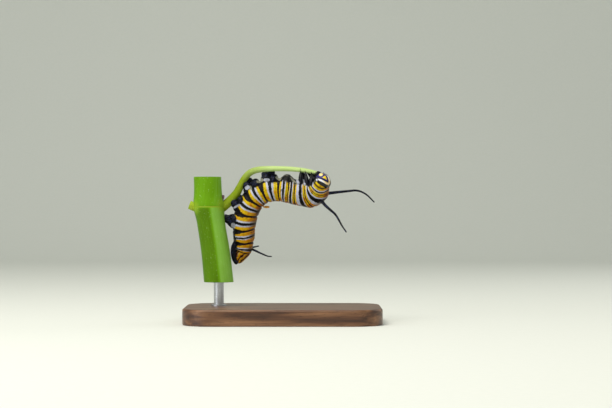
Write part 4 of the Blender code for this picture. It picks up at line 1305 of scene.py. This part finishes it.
def crochets(material):
    """Rows of fine brown hooks round the sole of each proleg, which grip the perch."""
    made = Builder()
    for number, mirror, root, sole, out, forward, left in proleg_lines():
        way = -out
        side_way = unit(np.cross(way, forward))
        for k in range(HOOKS):
            turn = math.radians(-110 + 220 * k / (HOOKS - 1))
            across = math.cos(turn) * side_way * mirror + math.sin(turn) * forward
            start = sole + 0.38 * across - 0.06 * way
            made.cone(start, start + 0.2 * way + 0.07 * across, 0.028, bend=0.05 * across)
    to_stem = np.array((-1.0, 0.0, 0.0))
    for line, mirror in zip(anal_lines(), (1, -1)):
        for s in np.linspace(0.35, 0.9, HOOKS) * line.length:
            start = line.at(s) + 0.62 * to_stem - 0.15 * mirror * Y_AXIS
            made.cone(start, start + 0.22 * to_stem - 0.06 * Z_AXIS, 0.028)
    return made.build("sole_hooks", material)


def root_map(obj, builder):
    """A map for baking: each hair is a small patch at its root's place on the unrolled trunk."""
    points = np.array(builder.points)
    roots = np.array([points[low : low + sides].mean(0) for low, _, sides in builder.shapes])
    s, angle, _ = trunk.place(roots)
    spots = 0.99 * np.stack((s / trunk.path.length, angle / 360 + 0.5), 1) + 0.003
    places = np.zeros((len(points), 2))
    for (low, rings, sides), spot in zip(builder.shapes, spots):
        step, turn = np.divmod(np.arange(rings * sides), sides)
        places[low : low + rings * sides] = spot + 0.003 * np.stack((turn / sides, step / rings), 1)
    corners = np.zeros(len(obj.data.loops), np.int32)
    obj.data.loops.foreach_get("vertex_index", corners)
    obj.data.uv_layers.new(name="OFBake").data.foreach_set("uv", places[corners].ravel())


def setae(material):
    """Short fine hairs on the prolegs, the legs and the head, as few as the animal has."""
    rng = np.random.default_rng(SEED)
    made = Builder()
    for number, mirror, root, sole, out, forward, left in proleg_lines():
        way = unit(sole - root)
        for _ in range(PROLEG_HAIRS):
            share = rng.uniform(0.62, 0.92)
            turn = rng.uniform(-1.9, 1.9)
            away = unit(math.cos(turn) * mirror * left + math.sin(turn) * forward)
            away = unit(away - way * np.dot(away, way))
            start = root + share * (sole - root) + 0.5 * away
            made.cone(start, start + rng.uniform(0.25, 0.42) * unit(away + 0.4 * way), 0.014, sides=3)
    for _, root, knee, claw, _, forward, left in leg_lines():
        path = Path((root, knee, claw))
        for _ in range(LEG_HAIRS):
            share = rng.uniform(0.45, 0.9)
            turn = rng.uniform(0, 2 * math.pi)
            way = path.way(share * path.length)
            away = math.cos(turn) * left + math.sin(turn) * forward
            away = unit(away - way * np.dot(away, way))
            start = path.at(share * path.length) + np.interp(share, (0.45, 0.9), (0.32, 0.16)) * away
            made.cone(start, start + rng.uniform(0.18, 0.34) * unit(away + 0.6 * way), 0.012, sides=3)
    for _ in range(HEAD_HAIRS):
        out_deg, down_deg = rng.uniform(-80, 80), rng.uniform(-50, 75)
        place, way = head_point(out_deg, down_deg)
        lean = unit(way + 0.35 * rng.normal(size=3))
        made.cone(place - 0.02 * way, place + rng.uniform(0.15, 0.3) * lean, 0.01, sides=3)
    hairs = made.build("fine_hairs", material)
    root_map(hairs, made)
    return hairs


def spiracles(material):
    """The breathing holes: a small black oval with a raised rim on each side of nine segments."""
    made = []
    for mirror, side in ((1, "left"), (-1, "right")):
        rims = Builder()
        for name in ("thorax_1", *(f"abdomen_{k}" for k in range(8, 0, -1))):
            s = trunk.bands[trunk.names.index(name)]
            angle = mirror * SPIRACLE_DEG
            radius = float(trunk.profile(np.array([s]), np.array([angle]))[0])
            middle, forward, back, left = trunk.frame(s)
            turn = math.radians(angle)
            way = math.cos(turn) * back + math.sin(turn) * left
            around = np.cross(way, forward)
            place = middle + (radius - 0.02) * way
            turns = np.linspace(0, 2 * math.pi, 20, endpoint=False)[:, None]
            oval = 0.12 * np.cos(turns) * forward + 0.2 * np.sin(turns) * around
            rims.rings([place + scale * oval + rise * way for scale, rise in RIM_PROFILE])
        made.append(rims.build("spiracles_" + side, material))
    return made


def plant_skin(name, shade, light, tip, rest):
    """Herb epidermis: waxy green with fine lengthwise fibres under it, and a light down. rest gives
    further tints, each with the lengths along the plant where it starts, is full, and ends."""
    material, tree, shader = new_material(name, 0.5, ior=1.45, specular=0.1)
    along, around = attribute(tree, "along"), attribute(tree, "around")
    place = node(tree, "ShaderNodeCombineXYZ", inputs={"X": along, "Y": around}).outputs[0]
    scaled = node(tree, "ShaderNodeMapping", inputs={"Vector": place, "Scale": (0.12, 2.6, 1.0)})
    fibres = node(
        tree, "ShaderNodeTexNoise", inputs={"Vector": scaled.outputs[0], "Scale": 1.0, "Detail": 4.0}
    ).outputs["Fac"]
    blotches = object_noise(tree, 3.2, 4.0, (1, 1, 2.0))
    # Painted light and shade: the stem's left face is painted darker as shade, its right face lighter as
    # lit
    lit = maths(tree, "MULTIPLY_ADD", blotches, 0.5, attribute(tree, "tone"))
    mixed = spread(tree, maths(tree, "MULTIPLY_ADD", fibres, 0.5, lit), 0.32, 1.6)
    colour = ramp(tree, mixed, ((0.0, shade), (0.55, light), (1.0, tip)))
    for tint, start, full, end, gone in rest:
        share = maths(
            tree, "MULTIPLY", spread(tree, along, start, full), spread(tree, along, gone, end)
        )
        colour = mix(tree, maths(tree, "MULTIPLY", share, spread(tree, mixed, -0.6, 0.6)), colour, tint)
    colour = mix(tree, attribute(tree, "spring"), colour, "#82A222")
    specks = spread(tree, object_noise(tree, 0.3, 2.0), 0.66, 0.74, 0.0, 0.35)
    colour = mix(tree, specks, colour, "#C9D9A0")
    colour = mix(tree, attribute(tree, "cut"), colour, ramp(tree, around, CUT_COLOURS))
    tree.links.new(colour, shader.inputs["Base Color"])
    glow(shader, 0.1, (0.6, 1.0, 0.3), 0.5)
    ridge = add_bump(tree, shader, fibres, 0.06, 0.6)
    add_bump(tree, shader, object_noise(tree, 0.14, 2.0), 0.03, 0.5, ridge)
    return material


def painted_light_sides(points):
    """Painted light and shade on the stem: 0 on its left face below the joint, painted darker as shade,
    1 on its right face, painted lighter as lit, and between these above the joint."""
    middle = np.interp(points[:, 2], perch.stem.samples[:, 2], perch.stem.samples[:, 0])
    across, height = points[:, 0] - middle, points[:, 2] - JOINT_HEIGHT
    below, right = smooth(across, -0.3, 1.0), smooth(across, 0.5, 2.5)
    return below + (0.42 + 0.25 * right - below) * smooth(height, -0.6, 0.2)


def springs(points):
    """1 where the stalk or the stub springs from the stem, fading to 0 round it."""
    nearest = np.min([np.linalg.norm(points - place, axis=1) for place in np.array(SPRINGS)], axis=0)
    return 1 - smooth(nearest, 0.5, SPRING_REACH)


def swept_plant(name, path, radius_at, rings, sides, shape, material, level=False):
    """A stem or stalk: rings along a path, shaped by shape(length, angle), with a cut face at its end.
    A level one, the stem, has its rings lie flat and is cut at its foot too."""
    side = unit(np.cross(path.way(0.0), Y_AXIS))
    turns = 2 * math.pi * np.arange(sides) / sides
    stops = np.linspace(0.0, path.length, rings)
    made, along, around, cut = [], [], [], []

    def put(ring, length, round_it, cut_here):
        made.append(ring)
        along.append(np.full(sides, length))
        around.append(round_it)
        cut.append(np.full(sides, cut_here))

    def put_cut(ring, middle, length, shares):
        for share in shares:
            put(middle + (ring - middle) * share, length, np.full(sides, share), 1.0)

    for i, s in enumerate(stops):
        way = Z_AXIS if level else path.way(s)
        side = unit(side - way * np.dot(side, way))
        other = np.cross(way, side)
        radius = (radius_at(s) * shape(s, turns))[:, None]
        middle = path.at(s)
        ring = middle + radius * (np.cos(turns)[:, None] * side + np.sin(turns)[:, None] * other)
        if i == 0 and level:
            put_cut(ring, middle, s, CUT_SHARES)
        put(ring, s, turns * radius_at(s), 0.0)
        if i == rings - 1:
            put_cut(ring, middle, s, reversed(CUT_SHARES))
    points = np.concatenate(made)
    obj = mesh_object(name, points, grid_faces(len(made), sides))
    close_normals(obj)
    for label, values in (("along", along), ("around", around), ("cut", cut)):
        set_attribute(obj, label, np.concatenate(values))
    set_attribute(obj, "tone", painted_light_sides(points) if level else np.full(len(points), STALK_PAINTED_LIGHT))
    set_attribute(obj, "spring", springs(points) * level)
    obj.data.materials.append(material)
    return obj


def stem_piece():
    """The milkweed stem: faint lengthwise ribs, and a swollen joint with a crease and a low ridge."""
    joint = perch.stem.nearest((-18.5, 2.0, JOINT_HEIGHT + 0.1))
    line = ("#9DA832", joint - 0.2, joint - 0.05, joint, joint + 0.15)
    green = plant_skin("milkweed_stem", "#4A6C00", "#66980E", "#84B648", (line,))

    def shape(s, turns):
        height = perch.stem.at(s)[2]
        ribs = 0.006 * np.cos(5 * turns + 0.6) + 0.003 * np.cos(13 * turns)
        crease = -0.014 * math.exp(-(((height - JOINT_HEIGHT) / 0.22) ** 2))
        ridge = 0.05 * math.exp(-(((height - JOINT_HEIGHT - 0.6) / 0.8) ** 2))
        return 1 + ribs + crease + ridge * bump(np.abs(turns - math.pi), 0.0, 0.3)

    return swept_plant(
        "milkweed_stem_length", perch.stem, perch.stem_radius, 260, 120, shape, green, level=True
    )


def stalk_piece():
    """The leaf stalk and midrib: flared at the joint, channelled on its upper side, bitten off."""
    long = perch.stalk.length
    pale = ("#B4CB80", 0.36 * long, 0.62 * long, 2 * long, 3 * long)
    green = plant_skin("leaf_stalk", "#5E7206", "#74870C", "#8E9E28", (pale,))

    def shape(s, turns):
        share = s / long
        channel = 0.13 * smooth(share, 0.12, 0.3) * (1 - 0.5 * smooth(share, 0.7, 1.0))
        rib = 0.015 * np.cos(7 * turns)
        return 1 + rib - channel * bump(np.abs(turns), 0.0, 0.45)

    return swept_plant("leaf_stalk_length", perch.stalk, perch.stalk_radius, 320, 64, shape, green)


def stub_piece():
    """The cut stub of the opposite leaf, yellow-green as the stalk's root."""
    path = Path(STUB_PATH)
    green = plant_skin("cut_leaf_stub", "#6F8A10", "#8DA41C", "#A9BA45", ())

    def radius_at(s):
        return np.interp(s, path.knots, STUB_RADII)

    def shape(s, turns):
        return 1 + 0.02 * np.cos(7 * turns)

    return swept_plant("leaf_stub_length", path, radius_at, 60, 48, shape, green)


def bud_piece():
    """The small purple bud that sits between stem and stalk, its scales folded over each other."""
    material, tree, shader = new_material("bud_scales", 0.5, ior=1.45)
    mottle(tree, shader, 0.35, 3.0, ((0.35, "#3A2030"), (0.7, "#84646A")))
    add_bump(tree, shader, object_noise(tree, 0.1, 2.0), 0.03, 0.6)
    bud = Builder()
    for k in range(5):
        turn = 2 * math.pi * k / 5
        lean = unit((0.25 * math.cos(turn), 0.25 * math.sin(turn), 1.0))
        side = square_to(lean)
        ways = (lean, side, np.cross(lean, side))
        bud.ball(np.array(BUD_AT) + 0.18 * lean, (0.6, 0.26, 0.26), ways, 12, 16)
    return bud.build("axil_bud", material)


def walnut():
    """Walnut board, planed, sanded and oiled: brown grain along X, dark pores, satin shine."""
    material, tree, shader = new_material("oiled_walnut", 0.38, ior=1.5)
    place = node(tree, "ShaderNodeTexCoord").outputs["Object"]
    grain = node(
        tree, "ShaderNodeMapping", inputs={"Vector": place, "Scale": (0.05 / MM, 0.55 / MM, 0.9 / MM)}
    ).outputs[0]
    warp = node(tree, "ShaderNodeTexNoise", inputs={"Vector": grain, "Scale": 0.4, "Detail": 2.0})
    bent = node(
        tree,
        "ShaderNodeVectorMath",
        {"operation": "MULTIPLY_ADD"},
        {0: warp.outputs["Color"], 1: (0.6, 1.8, 1.2), 2: grain},
    )
    rings = node(
        tree, "ShaderNodeTexNoise", inputs={"Vector": bent.outputs[0], "Scale": 0.9, "Detail": 5.0}
    )
    browns = ((0.3, "#3A2315"), (0.45, "#573723"), (0.56, "#6E4A30"), (0.7, "#8A6243"))
    colour = ramp(tree, rings.outputs["Fac"], browns)
    pores = object_noise(tree, 1.0, 2.0, (2.0, 0.154, 0.154))
    colour = mix(tree, spread(tree, pores, 0.62, 0.7, 0.0, 0.7), colour, "#24150D")
    tree.links.new(colour, shader.inputs["Base Color"])
    add_bump(tree, shader, pores, 0.03, 0.35)
    return material


def brushed_steel():
    """Stainless rod, brushed round its length, so that its shine is drawn out."""
    material, tree, shader = new_material("brushed_stainless_steel", 0.28, metallic=1.0)
    lines = object_noise(tree, 0.08, 2.0, (12, 12, 1))
    tree.links.new(ramp(tree, lines, ((0.3, "#A9ABAE"), (0.7, "#C9CBCD"))), shader.inputs["Base Color"])
    tree.links.new(spread(tree, lines, 0.0, 1.0, 0.22, 0.4), shader.inputs["Roughness"])
    add_bump(tree, shader, lines, 0.01, 0.4)
    return material


def crisp(piece):
    """Keeps the edges of a turned or planed piece crisp under its smooth shading."""
    close_normals(piece)
    piece.data.set_sharp_from_angle(angle=math.radians(40))
    return piece


def base_piece():
    """The stand's board, its corners rounded and its upper edge eased, on the CAD base's own sizes."""
    low, high = (np.array(corner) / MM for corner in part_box("stand_base"))
    length, depth, thickness = high - low
    centre = 0.5 * (low + high)
    corner_radius, ease, foot = 7.0, 0.5, 0.18
    steps = 24

    def outline(inset, z):
        ring = []
        for k, (x, y) in enumerate(((1, 1), (-1, 1), (-1, -1), (1, -1))):
            middle = centre[:2] + (x * (length / 2 - corner_radius), y * (depth / 2 - corner_radius))
            for step in range(steps + 1):
                turn = math.pi / 2 * (k + step / steps)
                reach = corner_radius - inset
                ring.append((*(middle + reach * np.array((math.cos(turn), math.sin(turn)))), z))
        return np.array(ring)

    rings = [outline(foot, low[2]), outline(0.0, low[2] + foot)]
    for step in range(9):
        turn = math.pi / 2 * step / 8
        rings.append(outline(ease * (1 - math.cos(turn)), high[2] - ease * (1 - math.sin(turn))))
    rings.append(outline(ease + 0.4, high[2]))
    base = Builder()
    base.rings(rings)
    return crisp(base.build("display_base", walnut()))


def rod_piece():
    """The steel rod from the board up into the stem, with a thin collar where it leaves the wood."""
    low, high = (np.array(corner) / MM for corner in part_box("stand_rod"))
    centre = 0.5 * (low + high)
    radius = 0.5 * (high[0] - low[0])
    board_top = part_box("stand_base")[1][2] / MM
    turns = 2 * math.pi * np.arange(64) / 64
    around = np.stack((np.cos(turns), np.sin(turns), 0 * turns), 1)
    profile = (
        (radius * 1.5, board_top - 0.3),
        (radius * 1.5, board_top + 0.35),
        (radius * 1.42, board_top + 0.45),
        (radius * 1.0, board_top + 0.46),
        (radius, board_top + 1.5),
        (radius, 0.5 * (low[2] + high[2])),
        (radius, high[2] - 0.5),
        (radius, high[2] + 0.6),
    )
    rod = Builder()
    rod.rings([np.array((centre[0], centre[1], z)) + r * around for r, z in profile])
    return crisp(rod.build("display_rod", brushed_steel()))


def backdrop():
    """A seamless pale sheet: floor, soft cove and rear wall, kept out of the model."""
    width, front, rear, cove, height = 1600.0, -900.0, 700.0, 250.0, 1300.0
    line = [(front, 0.0)]
    for step in range(25):
        turn = math.pi / 2 * step / 24
        line.append((rear - cove + cove * math.sin(turn), cove - cove * math.cos(turn)))
    line.append((rear, height))
    points, faces = [], []
    for y, z in line:
        points += [(-width, y, z - 0.02), (width, y, z - 0.02)]
    for i in range(len(line) - 1):
        faces.append((2 * i, 2 * i + 1, 2 * i + 3, 2 * i + 2))
    sheet = mesh_object("backdrop", points, faces)
    material, tree, shader = new_material("matt_backdrop_paper", 0.9)
    mottle(tree, shader, 1.5, 2.0, ((0.2, "#DCDED7"), (0.8, "#DFE0DA")))
    sheet.data.materials.append(material)


def light(name, place, size, watts, colour="#FFFFFF"):
    """A soft square light at place, in mm, that looks at the larva."""
    data = bpy.data.lights.new(name, "AREA")
    data.shape = "SQUARE"
    data.size = size * MM
    data.energy = watts
    data.color = linear(colour)[:3]
    obj = bpy.data.objects.new(name, data)
    bpy.context.scene.collection.objects.link(obj)
    target = np.array((0.0, 0.0, 28.0))
    way = unit(target - np.array(place))
    obj.location = Vector(place) * MM
    obj.rotation_euler = Vector(way).to_track_quat("-Z", "Y").to_euler()


def lights_and_camera():
    light("key_above", (-120.0, -180.0, 420.0), 320.0, 2.1, "#FFFBF2")
    light("fill_left", (-380.0, -260.0, 120.0), 300.0, 0.55, "#F2F6FF")
    light("rim_right", (330.0, 160.0, 200.0), 240.0, 0.25)
    world = bpy.data.worlds.new("studio")
    bpy.context.scene.world = world
    world.use_nodes = True
    sky = world.node_tree.nodes["Background"]
    sky.inputs["Color"].default_value = linear("#E4EAE4")
    sky.inputs["Strength"].default_value = 0.55
    centre_x = (PICTURE[0] / 2 - ORIGIN_PIXEL[0]) * PIXEL
    centre_z = (ORIGIN_PIXEL[1] - PICTURE[1] / 2) * PIXEL
    data = bpy.data.cameras.new("camera")
    data.sensor_fit = "HORIZONTAL"
    data.sensor_width = SENSOR
    data.lens = SENSOR * CAMERA_AWAY / (PICTURE[0] * PIXEL)
    data.clip_start = 10.0 * MM
    camera = bpy.data.objects.new("camera", data)
    bpy.context.scene.collection.objects.link(camera)
    camera.location = (centre_x * MM, (PLANE_Y - CAMERA_AWAY) * MM, centre_z * MM)
    camera.rotation_euler = (math.pi / 2, 0.0, 0.0)
    bpy.context.scene.camera = camera
    bpy.context.scene.view_settings.view_transform = "Standard"


FLESH = ("abdomen_", "thorax_", "proleg_", "filament_")


def carry(piece, slot, *nodes):
    """Puts a piece on the model's one body, in place of these CAD nodes."""
    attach(piece, "root")
    if nodes:
        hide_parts(*nodes)


def main():
    carry(skin(), "skin", *(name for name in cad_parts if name.startswith(FLESH)))
    carry(head_capsule(), "head", "head_capsule")
    black_horn = horn("black_leg_cuticle", "#050509", "#10111C", 0.3)
    brown_horn = horn("brown_hook_cuticle", "#2A1408", "#4A2A12", 0.35)
    grey_horn = horn("grey_feeler_cuticle", "#4E4A55", "#A6A6B4", 0.3)
    lip, jaws, feelers, tips = mouth_and_feelers(black_horn, grey_horn)
    carry(lip, "head")
    carry(tips, "head")
    carry(jaws, "head", "mouthparts")
    for feeler, side in zip(feelers, ("left", "right")):
        carry(feeler, "head", "antenna_" + side)
    for eyes in stemmata(horn("eye_cuticle", "#050507", "#0C0D12", 0.08)):
        carry(eyes, "head")
    for leg, name in true_legs(black_horn):
        carry(leg, "claw", name)
    carry(crochets(brown_horn), "claw")
    carry(setae(brown_horn), "claw")
    for rims in spiracles(black_horn):
        carry(rims, "claw")
    carry(stem_piece(), "stem", "perch_stem")
    carry(stalk_piece(), "stalk", "perch_stalk_root", "perch_stalk_bend", "perch_stalk_rib")
    carry(stub_piece(), "stalk")
    carry(bud_piece(), "stalk")
    carry(base_piece(), "wood", "stand_base")
    carry(rod_piece(), "steel", "stand_rod")
    backdrop()
    lights_and_camera()


main()
